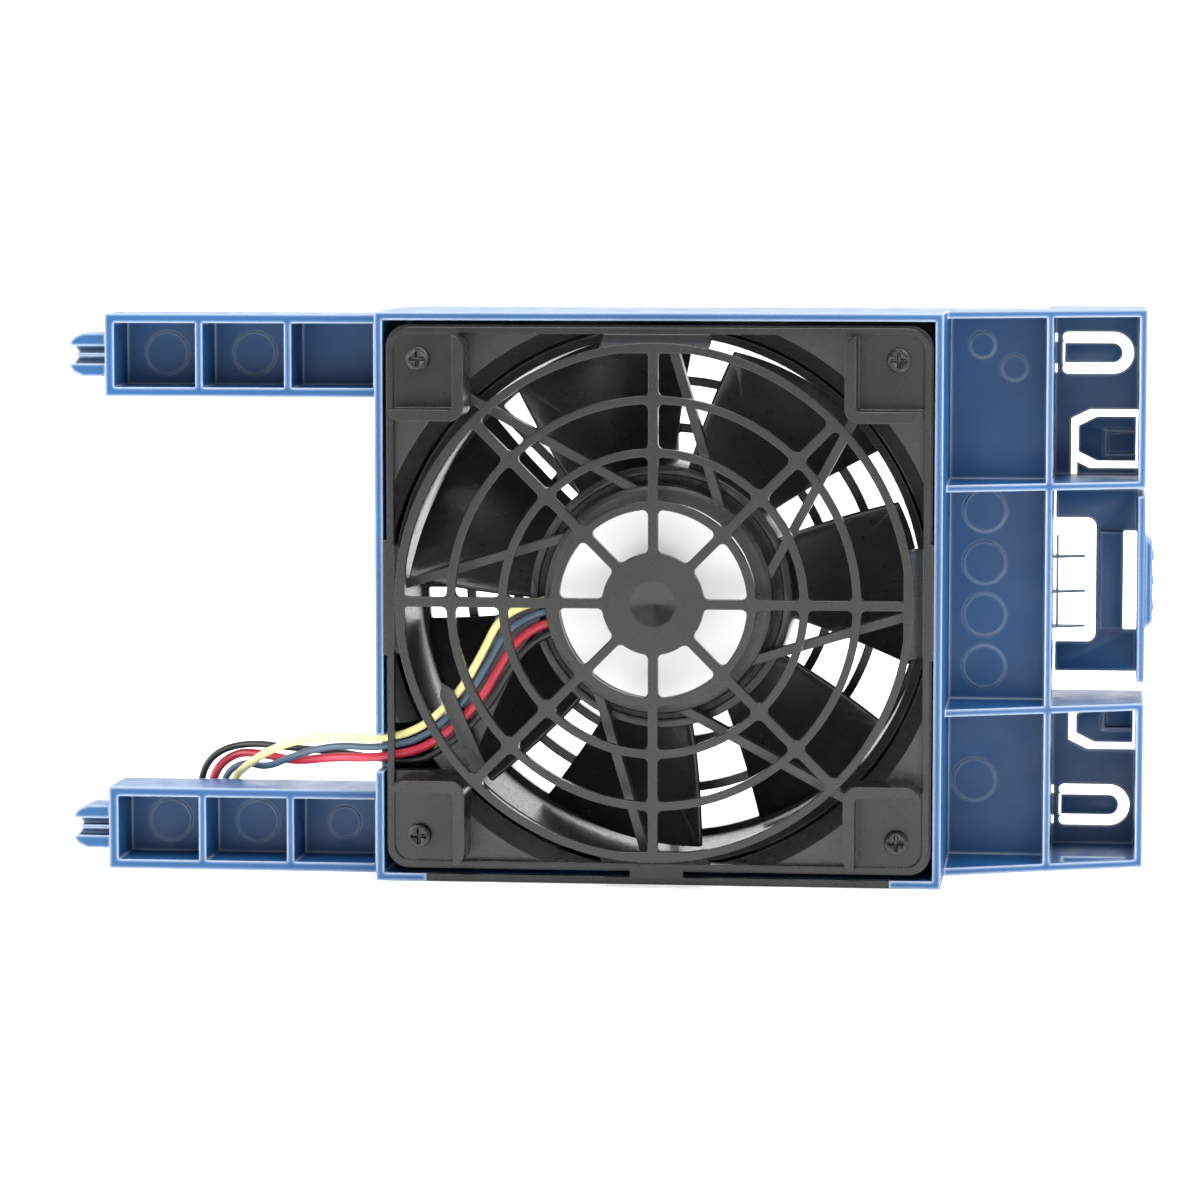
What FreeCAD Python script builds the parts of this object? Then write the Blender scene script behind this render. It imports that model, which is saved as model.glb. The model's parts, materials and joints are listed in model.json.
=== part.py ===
"""Server fan module: a 120 mm fan in a moulded carrier with hinge pegs, guards, latch and lead.

Every piece is drawn in one local frame: X to the right, Y the depth behind the carrier's front
rim, Z the height above the fan's axis. Each sub-part's Placement then lifts it, so that the
module stands on the XY plane with the fan's axis over the origin.
"""

import FreeCAD
import Part

import itertools
import math
import os
import re

import Sketcher

Vector = FreeCAD.Vector

# Driving dimensions in millimetres, angles in degrees.
SIZES = {
    # fan frame
    "fan_size": 120,
    "fan_deep": 38,
    "fan_corner": 5,
    "screw_inset": 7.5,
    "flange_thick": 4.5,
    "flange_hole": 2.1,
    "duct_inset": 2.5,
    "duct_wall": 1.9,
    "flare_reach": 3.5,
    "flare_deep": 8,
    "flare_wall": 1.6,
    "base_radius": 25.3,
    "base_thick": 3,
    "base_set": 0.4,
    "base_round": 1.2,
    "label_radius": 21.5,
    "label_thick": 0.2,
    "strut_wide": 2,
    "strut_deep": 4.5,
    "strut_set": 1.2,
    "strut_lean": 35,
    "strut_count": 8,
    "tray_thick": 1.6,
    "hook_thick": 1.2,
    "board_ledge": 1.1,
    # impeller
    "tip_gap": 1.2,
    "hub_radius": 29,
    "hub_wall": 2,
    "hub_front": 6.8,
    "hub_back": 32.5,
    "hub_round": 3,
    "boss_radius": 4.5,
    "boss_long": 4.5,
    "blade_count": 7,
    "blade_front": 9,
    "blade_back": 35,
    "blade_thick": 2.4,
    "blade_edge": 1.1,
    "blade_sweep": 10,
    "blade_span": 40,
    "blade_turn": 18,
    # motor
    "shaft_radius": 1.5,
    "shaft_front": 2.6,
    "bearing_radius": 4,
    "bearing_wide": 4,
    "bearing_inner": 2.15,
    "running_gap": 0.05,
    "bearing_front": 4,
    "bearing_span": 20,
    "tube_wall": 1.5,
    "tube_front": 1.4,
    "tube_lip": 0.5,
    "clip_radius": 2.1,
    "clip_thick": 0.5,
    "washer_thick": 0.3,
    "yoke_wall": 1.2,
    "yoke_front": 7.2,
    "magnet_thick": 2.2,
    "magnet_front": 8,
    "magnet_long": 18,
    "air_gap": 0.5,
    "core_front": 11,
    "core_long": 11,
    "core_ring": 3,
    "tooth_wide": 5,
    "tooth_tip": 2.5,
    "tooth_slot": 4,
    "coil_wide": 12,
    "coil_rise": 2.7,
    "coil_long": 10,
    "board_radius": 22.5,
    "board_thick": 1.6,
    "board_bore": 6,
    # guards
    "guard_inset": 0.5,
    "guard_thick": 2,
    "guard_bar": 1.5,
    "guard_rise": 9,
    "grille_thick": 2.2,
    "grille_hub": 11.1,
    "grille_dimple": 4.9,
    "ring_first": 21.4,
    "ring_inset": 1.9,
    "ring_wide": 1.8,
    "spoke_wide": 2.1,
    "cell_round": 1.2,
    "spoke_count": 8,
    "plate_wide": 15.7,
    "plate_high": 17.7,
    "plate_thick": 1.6,
    "post_thick": 2.5,
    "post_round": 3,
    "tab_wide": 23.5,
    "clip_high": 25.4,
    "lip_inset": 9,
    "lip_deep": 1.6,
    "lip_lift": 0.15,
    "rear_thick": 2.5,
    "rear_hub": 14,
    "rear_first": 25,
    "rear_inset": 0.4,
    "rear_bar": 2,
    "ear_radius": 6.8,
    # screws
    "head_radius": 2.6,
    "head_high": 1.4,
    "screw_long": 10,
    "cross_wide": 0.7,
    "cross_deep": 0.8,
    # carrier: box
    "side_gap": 0.4,
    "top_gap": 0.95,
    "box_wall": 1.8,
    "back_lip": 2.4,
    "back_thick": 3.3,
    "crush_wide": 1.6,
    "crush_at": 35,
    "crush_long": 10,
    "notch_top": -30.4,
    "notch_high": 8,
    "notch_deep": 8.5,
    # carrier: arms and pegs
    "arm_reach": 62.6,
    "arm_high": 18.5,
    "arm_set": 12,
    "arm_deep": 16.5,
    "arm_wall": 2.1,
    "arm_rib": 1.65,
    "arm_floor": 2,
    "arm_drop": 0.85,
    "pad_radius": 4.8,
    "pad_rise": 0.3,
    "peg_reach": 8.3,
    "peg_high": 9.7,
    "peg_deep": 9,
    "peg_web": 3.9,
    "peg_sink": 3.2,
    "peg_ridge": 0.8,
    # carrier: end block
    "block_reach": 43.9,
    "block_wall": 1.7,
    "block_near": 20.5,
    "block_far": 39,
    "step_reach": 21.7,
    "step_wall": 1.5,
    "floor_thick": 2,
    "well_deep": 64,
    "rib_upper": 22.7,
    "rib_lower": -25.6,
    "rib_thick": 1.6,
    "base_window": 14,
    "gusset_long": 7.3,
    "gusset_thick": 0.5,
    "gusset_step": 8,
    # carrier: flexing pieces
    "root_gap": 0.5,
    "finger_wide": 4.4,
    "finger_slot": 2.6,
    "finger_long": 13.6,
    "finger_inset": 7.9,
    "finger_bump": 0.8,
    "catch_reach": 13.5,
    "catch_top": 37.5,
    "catch_slot": 1.7,
    "catch_cut": 4.2,
    "catch_frame": 0.8,
    "latch_high": 42,
    "latch_thick": 2.2,
    "latch_bar": 6.7,
    "latch_window": 9.7,
    "latch_cross": 6.2,
    "latch_slot": 22.7,
    "latch_pad": 1.7,
    "pad_high": 20.6,
    "pad_offset": 1.4,
    "pad_bevel": 1.5,
    "grip_step": 5.7,
    # plug and lead
    "plug_pitch": 2.54,
    "plug_wide": 11,
    "plug_deep": 6.4,
    "plug_high": 11.6,
    "plug_lift": 0.6,
    "plug_set": 26.2,
    "cheek_thick": 1.4,
    "contact_wide": 1.5,
}

DOC = FreeCAD.newDocument("server_fan_module")
SHEET = DOC.addObject("Spreadsheet::Sheet", "sizes")
for line, (alias, size) in enumerate(SIZES.items(), start=1):
    SHEET.set(f"A{line}", alias)
    SHEET.set(f"B{line}", str(size))
    SHEET.setAlias(f"B{line}", alias)
RECKONER = DOC.addObject("Spreadsheet::Sheet", "reckoner")
DOC.recompute()

# Derived sizes, as expressions of the sheet's cells.
CAVITY_WIDE = "(fan_size + 2 * side_gap)"
CAVITY_HIGH = "(fan_size + 2 * top_gap)"
BOX_WIDE = f"({CAVITY_WIDE} + 2 * box_wall)"
BOX_HIGH = f"({CAVITY_HIGH} + 2 * box_wall)"
SCREW_PITCH = "(fan_size - 2 * screw_inset)"
DUCT_RADIUS = "(fan_size / 2 - duct_inset)"
FLARE_RADIUS = "(fan_size / 2 + flare_reach)"
RING_STEP = f"(({DUCT_RADIUS} - ring_inset - ring_first) / 3)"
REAR_STEP = f"(({DUCT_RADIUS} - rear_inset - rear_first) / 3)"
LIP_LONG = "(fan_size - 2 * lip_inset)"
FINGER_AT = "(fan_size / 2 - finger_inset)"
FAN_FRONT = "guard_thick"
FAN_BACK = "(guard_thick + fan_deep)"
REAR_BACK = f"({FAN_BACK} + rear_thick)"
BOX_DEEP = f"({REAR_BACK} + back_thick)"
BASE_FRONT = f"({FAN_FRONT} + base_set)"
BASE_BACK = f"({BASE_FRONT} + base_thick)"
BOARD_FRONT = f"({BASE_BACK} + board_ledge)"
BEARING_TWO = f"({FAN_FRONT} + bearing_front + bearing_span - bearing_wide)"
TUBE_RADIUS = "(bearing_radius + tube_wall)"
TUBE_BACK = f"({BEARING_TWO} + bearing_wide + tube_lip)"
YOKE_RADIUS = "(hub_radius - hub_wall)"
MAGNET_RADIUS = f"({YOKE_RADIUS} - yoke_wall)"
CORE_RADIUS = f"({MAGNET_RADIUS} - magnet_thick - air_gap)"
TIP_RADIUS = f"({DUCT_RADIUS} - tip_gap)"
GUARD_SIZE = "(fan_size - 2 * guard_inset)"
GUARD_HALF = "(fan_size / 2 - guard_inset)"
ARM_LEFT = f"(-{BOX_WIDE} / 2 - arm_reach)"
ARM_BACK = "(arm_set + arm_deep)"
PLUG_RIGHT = f"({ARM_LEFT} + plug_set)"
PLUG_LEFT = f"({PLUG_RIGHT} - plug_wide)"
BLOCK_LEFT = f"({BOX_WIDE} / 2)"
BLOCK_RIGHT = f"({BLOCK_LEFT} + block_reach)"
STEP_LEFT = f"({BLOCK_LEFT} + step_reach)"
WELL_LEFT = f"({STEP_LEFT} + step_wall)"
WELL_RIGHT = f"({BLOCK_RIGHT} - block_wall)"
WELL_BACK = "(well_deep + floor_thick)"
FINGER_ROOT = f"({WELL_LEFT} + 1.7)"
THROUGH = 1.0  # how far a cutter runs past a face
BURIED = 0.5  # how far a joined piece runs into the one that carries it

ALIAS = re.compile(r"\b(" + "|".join(SIZES) + r")\b")
PARTS = {}


def bound(text):
    """The expression with its cell names as another object has to write them."""
    return ALIAS.sub(r"sizes.\1", str(text))


def number(text):
    """The value of an expression of the sheet's cells."""
    RECKONER.set("A1", "=" + bound(text))
    RECKONER.recompute()
    return float(RECKONER.get("A1"))


def bind(thing, prop, text):
    """Tie a property to the sheet."""
    thing.setExpression(prop, bound(text))


def place(thing, x="0", y="0", z="0"):
    """Tie a Placement's position to the sheet."""
    for axis, text in zip("xyz", (x, y, z)):
        bind(thing, f"Placement.Base.{axis}", text)


def block(name, low, size):
    """A box from its low corner and its three sizes."""
    thing = DOC.addObject("Part::Box", name)
    for prop, text in zip(("Length", "Width", "Height"), size):
        bind(thing, prop, text)
    place(thing, *low)
    return thing


def rod(name, radius, start, end, x="0", z="0"):
    """A cylinder along the depth, from start to end."""
    thing = DOC.addObject("Part::Cylinder", name)
    bind(thing, "Radius", radius)
    bind(thing, "Height", f"({end}) - ({start})")
    thing.Placement.Rotation = FreeCAD.Rotation(Vector(1, 0, 0), -90)
    place(thing, x, start, z)
    return thing


def cone(name, radius_start, radius_end, start, end, x="0", z="0"):
    """A cone along the depth, from start to end."""
    thing = DOC.addObject("Part::Cone", name)
    bind(thing, "Radius1", radius_start)
    bind(thing, "Radius2", radius_end)
    bind(thing, "Height", f"({end}) - ({start})")
    thing.Placement.Rotation = FreeCAD.Rotation(Vector(1, 0, 0), -90)
    place(thing, x, start, z)
    return thing


def join(name, pieces, refine=True):
    """Several solids as one."""
    thing = DOC.addObject("Part::MultiFuse", name)
    thing.Shapes = pieces
    thing.Refine = refine
    return thing


def cut(name, base, tools):
    """The base less the tools."""
    thing = DOC.addObject("Part::Cut", name)
    thing.Base = base
    thing.Tool = tools[0] if len(tools) == 1 else join(name + "_tools", tools)
    thing.Refine = True
    return thing


def common(name, one, other):
    """What two solids share."""
    thing = DOC.addObject("Part::Common", name)
    thing.Base = one
    thing.Tool = other
    return thing


def group(name, pieces):
    """Separate solids kept together in one sub-part."""
    thing = DOC.addObject("Part::Compound", name)
    thing.Links = pieces
    return thing


def rounded(name, low, size, radius):
    """A box whose four edges along the depth are rounded."""
    x, y, z = low
    wide, deep, high = size
    slabs = [
        block(name + "_a", (f"{x} + {radius}", y, z), (f"{wide} - 2 * {radius}", deep, high)),
        block(name + "_b", (x, y, f"{z} + {radius}"), (wide, deep, f"{high} - 2 * {radius}")),
    ]
    for side, across in enumerate((f"{x} + {radius}", f"{x} + {wide} - {radius}")):
        for end, up in enumerate((f"{z} + {radius}", f"{z} + {high} - {radius}")):
            slabs.append(rod(f"{name}_r{side}{end}", radius, y, f"{y} + {deep}", across, up))
    return join(name, slabs)


def origin_plane(body, role):
    """One of the body's own origin planes or axes."""
    return next(part for part in body.Origin.OriginFeatures if part.Role == role)


def outline(body, role, points, offset="0"):
    """A closed sketch of straight edges whose every corner is tied to the sheet."""
    sketch = body.newObject("Sketcher::SketchObject", body.Name + "_outline")
    sketch.AttachmentSupport = [(origin_plane(body, role), "")]
    sketch.MapMode = "FlatFace"
    bind(sketch, "AttachmentOffset.Base.z", offset)
    corners = [Vector(number(across), number(up), 0) for across, up in points]
    count = len(corners)
    for index in range(count):
        edge = Part.LineSegment(corners[index], corners[(index + 1) % count])
        sketch.addGeometry(edge, False)
    for index in range(count):
        sketch.addConstraint(Sketcher.Constraint("Coincident", index, 2, (index + 1) % count, 1))
    for index, (across, up) in enumerate(points):
        for kind, text, value in (
            ("DistanceX", across, corners[index].x),
            ("DistanceY", up, corners[index].y),
        ):
            rule = Sketcher.Constraint(kind, -1, 1, index, 1, value)
            place_name = f"corner{index}{kind[-1]}"
            sketch.renameConstraint(sketch.addConstraint(rule), place_name)
            bind(sketch, f"Constraints.{place_name}", text)
    return sketch


def turned(name, points):
    """A body of revolution about the fan's axis, from (radius, depth) corners."""
    body = DOC.addObject("PartDesign::Body", name)
    spin = body.newObject("PartDesign::Revolution", name + "_turn")
    spin.Profile = outline(body, "XY_Plane", points)
    spin.ReferenceAxis = (spin.Profile[0], ["V_Axis"])
    spin.Angle = 360
    return body


def slab(name, role, points, offset, thick):
    """A body padded from an outline: XZ_Plane pads forwards, XY_Plane up, YZ_Plane right."""
    body = DOC.addObject("PartDesign::Body", name)
    pad = body.newObject("PartDesign::Pad", name + "_pad")
    pad.Profile = outline(body, role, points, offset)
    bind(pad, "Length", thick)
    return body


def turned_about_axis(thing, count, name, left_out=0):
    """Copies of a body's last feature round the fan's axis, less any left out at the end."""
    pattern = thing.newObject("PartDesign::PolarPattern", name)
    pattern.Originals = [thing.Tip]
    pattern.Axis = (origin_plane(thing, "Y_Axis"), [""])
    pattern.Angle = 360
    if left_out:
        bind(pattern, "Angle", f"360 * ({count} - {left_out} - 1) / ({count})")
    bind(pattern, "Occurrences", f"{count} - {left_out}")
    thing.Tip = pattern
    return thing


def finish(thing, node):
    """Name a sub-part and stand it on the ground, under the fan's axis."""
    thing.Label = node
    place(thing, "0", f"-{BOX_DEEP} / 2", f"{BOX_HIGH} / 2")
    PARTS[node] = thing


# ---------------------------------------------------------------- carrier


def carrier_box():
    """The open box round the fan, with crush ribs, a lip behind and a notch for the lead."""
    half_wide, half_high = f"{CAVITY_WIDE} / 2", f"{CAVITY_HIGH} / 2"
    shell = block(
        "box_shell", (f"-{BOX_WIDE} / 2", "0", f"-{BOX_HIGH} / 2"), (BOX_WIDE, BOX_DEEP, BOX_HIGH)
    )
    cavity = block(
        "box_cavity",
        (f"-{half_wide}", f"-{THROUGH}", f"-{half_high}"),
        (CAVITY_WIDE, f"{REAR_BACK} + {THROUGH}", CAVITY_HIGH),
    )
    rear = block(
        "box_rear",
        (f"-{half_wide} + back_lip", "0", f"-{half_high} + back_lip"),
        (
            f"{CAVITY_WIDE} - 2 * back_lip",
            f"{BOX_DEEP} + {THROUGH}",
            f"{CAVITY_HIGH} - 2 * back_lip",
        ),
    )
    notch = block(
        "lead_notch",
        (f"-{BOX_WIDE} / 2 - {THROUGH}", f"-{THROUGH}", "notch_top - notch_high"),
        (f"box_wall + 2 * {THROUGH}", f"notch_deep + {THROUGH}", "notch_high"),
    )
    seat = block(
        "lip_seat",
        (f"-{LIP_LONG} / 2", f"-{THROUGH}", f"-{BOX_HIGH} / 2 - {THROUGH}"),
        (LIP_LONG, f"lip_deep + {THROUGH}", f"box_wall + {THROUGH}"),
    )
    ribs = []
    for side in (-1, 1):
        for low in (f"-{half_high}", f"{half_high} - top_gap"):
            ribs.append(
                block(
                    "crush_rib",
                    (f"{side} * crush_at - crush_wide / 2", f"{FAN_BACK} - crush_long - 1", low),
                    ("crush_wide", "crush_long", "top_gap"),
                )
            )
    return [cut("box_walls", shell, [cavity, rear, notch, seat])] + ribs


def arm(name, low, third_pad):
    """One channel arm: three pockets with ejector pads, and a hinge peg on its end."""
    body = block(
        name + "_body",
        (ARM_LEFT, "arm_set", low),
        (f"arm_reach + {BURIED}", "arm_deep", "arm_high"),
    )
    pocket = "(arm_reach - 2 * arm_wall - 2 * arm_rib) / 3"
    pockets, pads = [], []
    for index in range(3):
        left = f"{ARM_LEFT} + arm_wall + {index} * ({pocket} + arm_rib)"
        pockets.append(
            block(
                f"{name}_pocket",
                (left, f"arm_set - {THROUGH}", f"{low} + arm_wall"),
                (pocket, f"arm_deep - arm_floor + {THROUGH}", "arm_high - 2 * arm_wall"),
            )
        )
        radius = "pad_radius" if index < 2 else third_pad
        if radius:
            floor = f"{ARM_BACK} - arm_floor"
            middle = f"{left} + {pocket} / 2"
            up = f"{low} + arm_high / 2"
            pads.append(rod(f"{name}_pad", radius, f"{floor} - pad_rise", floor, middle, up))
    peg = hinge_peg(name + "_peg", f"{low} + arm_high / 2")
    return [cut(name + "_channel", body, pockets), peg] + pads


def hinge_peg(name, middle):
    """The forked peg on the end of an arm: two lobes and a sunk, ridged web between them."""
    half = "peg_high / 2"
    shape = [
        (BURIED, half),
        ("-0.62 * peg_reach", half),
        ("-0.88 * peg_reach", f"0.8 * {half}"),
        ("-peg_reach", f"0.5 * {half}"),
        ("-0.92 * peg_reach", f"0.38 * {half}"),
        ("-0.78 * peg_reach", "0"),
    ]
    below = [(across, f"-({up})") for across, up in reversed(shape[:-1])]
    body = slab(name, "XZ_Plane", shape + below, "0", "peg_deep")
    place(body, ARM_LEFT, "arm_set + peg_deep + 1", middle)
    sinks = []
    for front in ("arm_set", "arm_set + 1 + peg_deep - peg_sink"):
        for side in (-1, 1):
            near = f"{middle} + {side} * (peg_web + peg_ridge) / 4 - (peg_web - peg_ridge) / 4"
            sinks.append(
                block(
                    name + "_sink",
                    (f"{ARM_LEFT} - peg_reach - 1", front, near),
                    ("peg_reach + 1", "peg_sink + 1", "(peg_web - peg_ridge) / 2"),
                )
            )
    return cut(name + "_forked", body, sinks)


def end_block():
    """The deep block on the right: near pockets, a step, wells with flexing pieces, a latch bay."""
    top = f"{BOX_HIGH} / 2"
    plan = [
        (f"{BLOCK_LEFT} - {BURIED}", "block_near"),
        (BLOCK_RIGHT, "block_far"),
        (BLOCK_RIGHT, WELL_BACK),
        (STEP_LEFT, WELL_BACK),
        (STEP_LEFT, BOX_DEEP),
        (f"{BLOCK_LEFT} - {BURIED}", BOX_DEEP),
    ]
    body = slab("block_plan", "XY_Plane", plan, f"-{top}", BOX_HIGH)
    bays = (
        ("rib_upper + rib_thick", f"{top} - block_wall"),
        ("rib_lower", "rib_upper"),
        (f"-{top} + block_wall", "rib_lower - rib_thick"),
    )
    tools = []
    for low, high in bays:
        tools.append(
            block(
                "near_pocket",
                (BLOCK_LEFT, "0", low),
                ("step_reach", f"{BOX_DEEP} - floor_thick", f"({high}) - ({low})"),
            )
        )
    for low, high in (bays[0], bays[2]):
        tools.append(
            block(
                "well",
                (WELL_LEFT, "0", low),
                (f"{WELL_RIGHT} - {WELL_LEFT}", "well_deep", f"({high}) - ({low})"),
            )
        )
    tools.append(
        block(
            "latch_bay",
            (WELL_LEFT, "0", "rib_lower"),
            (f"block_reach + {THROUGH}", f"{WELL_BACK} + {THROUGH}", "rib_upper - rib_lower"),
        )
    )
    window_left = f"{WELL_LEFT} + 2.7"
    tools.append(
        slab(
            "floor_window",
            "XY_Plane",
            [
                (window_left, "block_near + 13"),
                (f"{window_left} + base_window", "block_near + 20"),
                (f"{window_left} + base_window", "block_near + 22"),
                (window_left, "block_near + 22"),
            ],
            f"-{top} - {THROUGH}",
            f"block_wall + 2 * {THROUGH}",
        )
    )
    for side in (-1, 1):
        tools += finger_slot(side)
        tools += catch_slot(side)
    return [cut("block_walls", body, tools)] + gussets() + block_pads()


def finger_slot(side):
    """The U-shaped slot round a spring finger, and the two relief slots at its root."""
    half = "finger_wide / 2 + finger_slot"
    tip = f"{FINGER_ROOT} + finger_long - finger_wide / 2"
    arm_end = f"{FINGER_ROOT} + finger_slot / 2"
    back = f"{WELL_BACK} + {THROUGH}"
    start = f"well_deep - {THROUGH}"
    middle = f"{side} * {FINGER_AT}"
    tools = [
        block(
            "slot_run",
            (arm_end, start, f"{middle} - ({half})"),
            (f"{tip} - ({arm_end})", f"{back} - ({start})", f"2 * ({half})"),
        ),
        block(
            "slot_root",
            (FINGER_ROOT, start, f"{middle} - finger_wide / 2 - 0.3"),
            ("finger_slot", f"{back} - ({start})", "finger_wide + 0.6"),
        ),
        rod("slot_nose", half, start, back, tip, middle),
    ]
    for up in (-1, 1):
        height = f"{middle} + {up} * (finger_wide + finger_slot) / 2"
        tools.append(rod("slot_end", "finger_slot / 2", start, back, arm_end, height))
        tools.append(
            block(
                "relief", (WELL_LEFT, start, f"{height} - 1"), ("0.5", f"{back} - ({start})", "2")
            )
        )
    return tools


def catch_slot(side):
    """The slot with cut corners round a catch tab, and its short branch to the rib."""
    inner = f"({catch_inner(side)})"
    outer = "(catch_top + catch_slot)"
    left = f"{WELL_RIGHT} - catch_reach - catch_slot"
    shape = [
        (WELL_RIGHT, inner),
        (f"{left} + catch_cut", inner),
        (left, f"{inner} + catch_cut / 2"),
        (left, f"{outer} - catch_cut / 2"),
        (f"{left} + catch_cut", outer),
        (WELL_RIGHT, outer),
    ]
    body = slab(
        "catch_gap",
        "XZ_Plane",
        [(x, f"{side} * ({z})") for x, z in shape],
        f"-({WELL_BACK} + {THROUGH})",
        f"floor_thick + 2 * {THROUGH}",
    )
    if side > 0:
        low, high = "rib_upper + rib_thick", inner + " + catch_cut / 2 - rib_upper - rib_thick"
    else:
        low, high = f"-{inner} - catch_cut / 2", "catch_cut / 2"
    size = ("0.8 * catch_slot", f"floor_thick + 2 * {THROUGH}", high)
    branch = block("catch_branch", (left, f"well_deep - {THROUGH}", low), size)
    return [body, branch]


def catch_inner(side):
    """How far from the middle a catch slot's inner edge is: just clear of the rib beside it."""
    return "rib_upper + rib_thick + 1.4" if side > 0 else "rib_thick - rib_lower + 0.2"


def gussets():
    """The thin comb on the step wall, beside the latch's window."""
    pieces = []
    back = f"{WELL_BACK} - latch_thick - 2"
    for index in (-1, 0, 1):
        shape = [
            (f"{WELL_LEFT} - {BURIED}", f"{back} - 5"),
            (f"{WELL_LEFT} + gusset_long", f"{back} - 1"),
            (f"{WELL_LEFT} + gusset_long", back),
            (f"{WELL_LEFT} - {BURIED}", back),
        ]
        low = f"{index} * gusset_step - 2.3 - gusset_thick / 2"
        pieces.append(slab("gusset", "XY_Plane", shape, low, "gusset_thick"))
    pieces.append(
        block(
            "gusset_fin",
            (f"{WELL_LEFT} + 0.7", f"{back} - 3", "-gusset_step - 2.3"),
            ("gusset_thick", "3", "2.6 * gusset_step"),
        )
    )
    return pieces


def block_pads():
    """Round ejector pads on the floors of the near pockets."""
    floor = f"({BOX_DEEP} - floor_thick)"
    spots = [(8, 11.8 * step - 6.4, "pad_radius") for step in (-1, 0, 1, 2)]
    spots += [
        (14.4, "fan_size / 2 - 10.6", "0.6 * pad_radius"),
        (7.2, "fan_size / 2 - 5.5", "0.6 * pad_radius"),
        (6, "16 - fan_size / 2", "pad_radius"),
    ]
    return [
        rod(
            "floor_pad",
            radius,
            f"{floor} - pad_rise",
            f"{floor} + {BURIED}",
            f"{BLOCK_LEFT} + {right}",
            str(up),
        )
        for right, up, radius in spots
    ]


def plug_cheeks():
    """Two cheeks behind the lower arm that hold the plug between them."""
    low = f"-{BOX_HIGH} / 2 + plug_lift + 1"
    size = ("cheek_thick", f"plug_deep + {BURIED}", "plug_high - 2")
    left = block("cheek", (f"{PLUG_LEFT} - cheek_thick", f"{ARM_BACK} - {BURIED}", low), size)
    right = block("cheek", (PLUG_RIGHT, f"{ARM_BACK} - {BURIED}", low), size)
    return [left, right]


def build_carrier():
    upper = f"{BOX_HIGH} / 2 - arm_drop - arm_high"
    lower = f"-{BOX_HIGH} / 2"
    arms = arm("upper_arm", upper, None) + arm("lower_arm", lower, "0.75 * pad_radius")
    finish(join("carrier", carrier_box() + arms + end_block() + plug_cheeks()), "carrier")


def build_fingers():
    """Two spring fingers, one in each well, with a low bump behind the tip."""
    for side, node in ((1, "upper_spring_finger"), (-1, "lower_spring_finger")):
        middle = f"{side} * {FINGER_AT}"
        left = f"{FINGER_ROOT} + root_gap"
        tip = f"{FINGER_ROOT} + finger_long - finger_wide / 2"
        back = WELL_BACK
        strip = block(
            node + "_strip",
            (left, "well_deep", f"{middle} - finger_wide / 2"),
            (f"{tip} - ({left})", "floor_thick", "finger_wide"),
        )
        nose = rod(node + "_nose", "finger_wide / 2", "well_deep", back, tip, middle)
        bump = cone(
            node + "_bump",
            "finger_wide / 3",
            "finger_wide / 6",
            back,
            f"{back} + finger_bump",
            tip,
            middle,
        )
        finish(join(node, [strip, nose, bump]), node)


def build_catches():
    """Two catch tabs hung on the end wall, each with a framed recess."""
    for side, node in ((1, "upper_catch_tab"), (-1, "lower_catch_tab")):
        inner = f"({catch_inner(side)} + catch_slot)"
        right = f"{WELL_RIGHT} - root_gap"
        left = f"{WELL_RIGHT} - catch_reach"
        shape = [
            (right, inner),
            (f"{left} + catch_cut", inner),
            (left, f"{inner} + catch_cut / 2"),
            (left, "catch_top - catch_cut / 2"),
            (f"{left} + catch_cut", "catch_top"),
            (right, "catch_top"),
        ]
        plate = slab(
            node + "_plate",
            "XZ_Plane",
            [(x, f"{side} * ({z})") for x, z in shape],
            f"-{WELL_BACK}",
            "floor_thick",
        )
        low = "29.1" if side > 0 else "-33.9"
        frame = block(
            node + "_frame",
            (f"{right} - 7.2", "well_deep - catch_frame", f"{low} - catch_frame"),
            ("7.2", "catch_frame", "4.8 + 2 * catch_frame"),
        )
        recess = block(
            node + "_recess",
            (f"{right} - 7.2 + catch_frame", "well_deep - 2", low),
            ("7.2", "2 + 0.6 * floor_thick", "4.8"),
        )
        finish(cut(node, join(node + "_body", [plate, frame]), [recess]), node)


def build_latch():
    """The release latch: two bars, a cross bar, and an end wall with the thumb pad on it."""
    half = "latch_high / 2"
    left = f"({WELL_LEFT} + root_gap)"
    front = f"({WELL_BACK} - latch_thick)"
    wall_front = [
        (WELL_RIGHT, f"block_far - block_wall * (block_far - block_near) / block_reach"),
        (BLOCK_RIGHT, "block_far"),
        (BLOCK_RIGHT, WELL_BACK),
        (WELL_RIGHT, WELL_BACK),
    ]
    plate = block(
        "latch_plate",
        (left, front, f"-{half}"),
        (f"{BLOCK_RIGHT} - {left}", "latch_thick", "latch_high"),
    )
    wall = slab("latch_wall", "XY_Plane", wall_front, f"-{half}", "latch_high")
    cross_left = f"({WELL_LEFT} + latch_window)"
    stiffener = block(
        "latch_stiffener",
        (f"{cross_left} + 0.9", f"{front} - 1.8", "-latch_slot / 2"),
        ("latch_cross - 0.9", f"1.8 + {BURIED}", "latch_slot"),
    )
    window = rounded(
        "latch_window_cut",
        (f"({WELL_LEFT} - 4)", f"({front} - 2)", f"(-{half} + latch_bar)"),
        ("(latch_window + 4)", "(latch_thick + 4)", "(latch_high - 2 * latch_bar)"),
        "2",
    )
    slot = block(
        "latch_slot_cut",
        (f"{cross_left} + latch_cross", f"{front} - 2", "-latch_slot / 2"),
        (f"{WELL_RIGHT} - {cross_left} - latch_cross", "latch_thick + 4", "latch_slot"),
    )
    body = cut("latch_body", join("latch_solid", [plate, wall, stiffener]), [window, slot])
    finish(join("release_latch", [body] + thumb_pad()), "release_latch")


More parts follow.
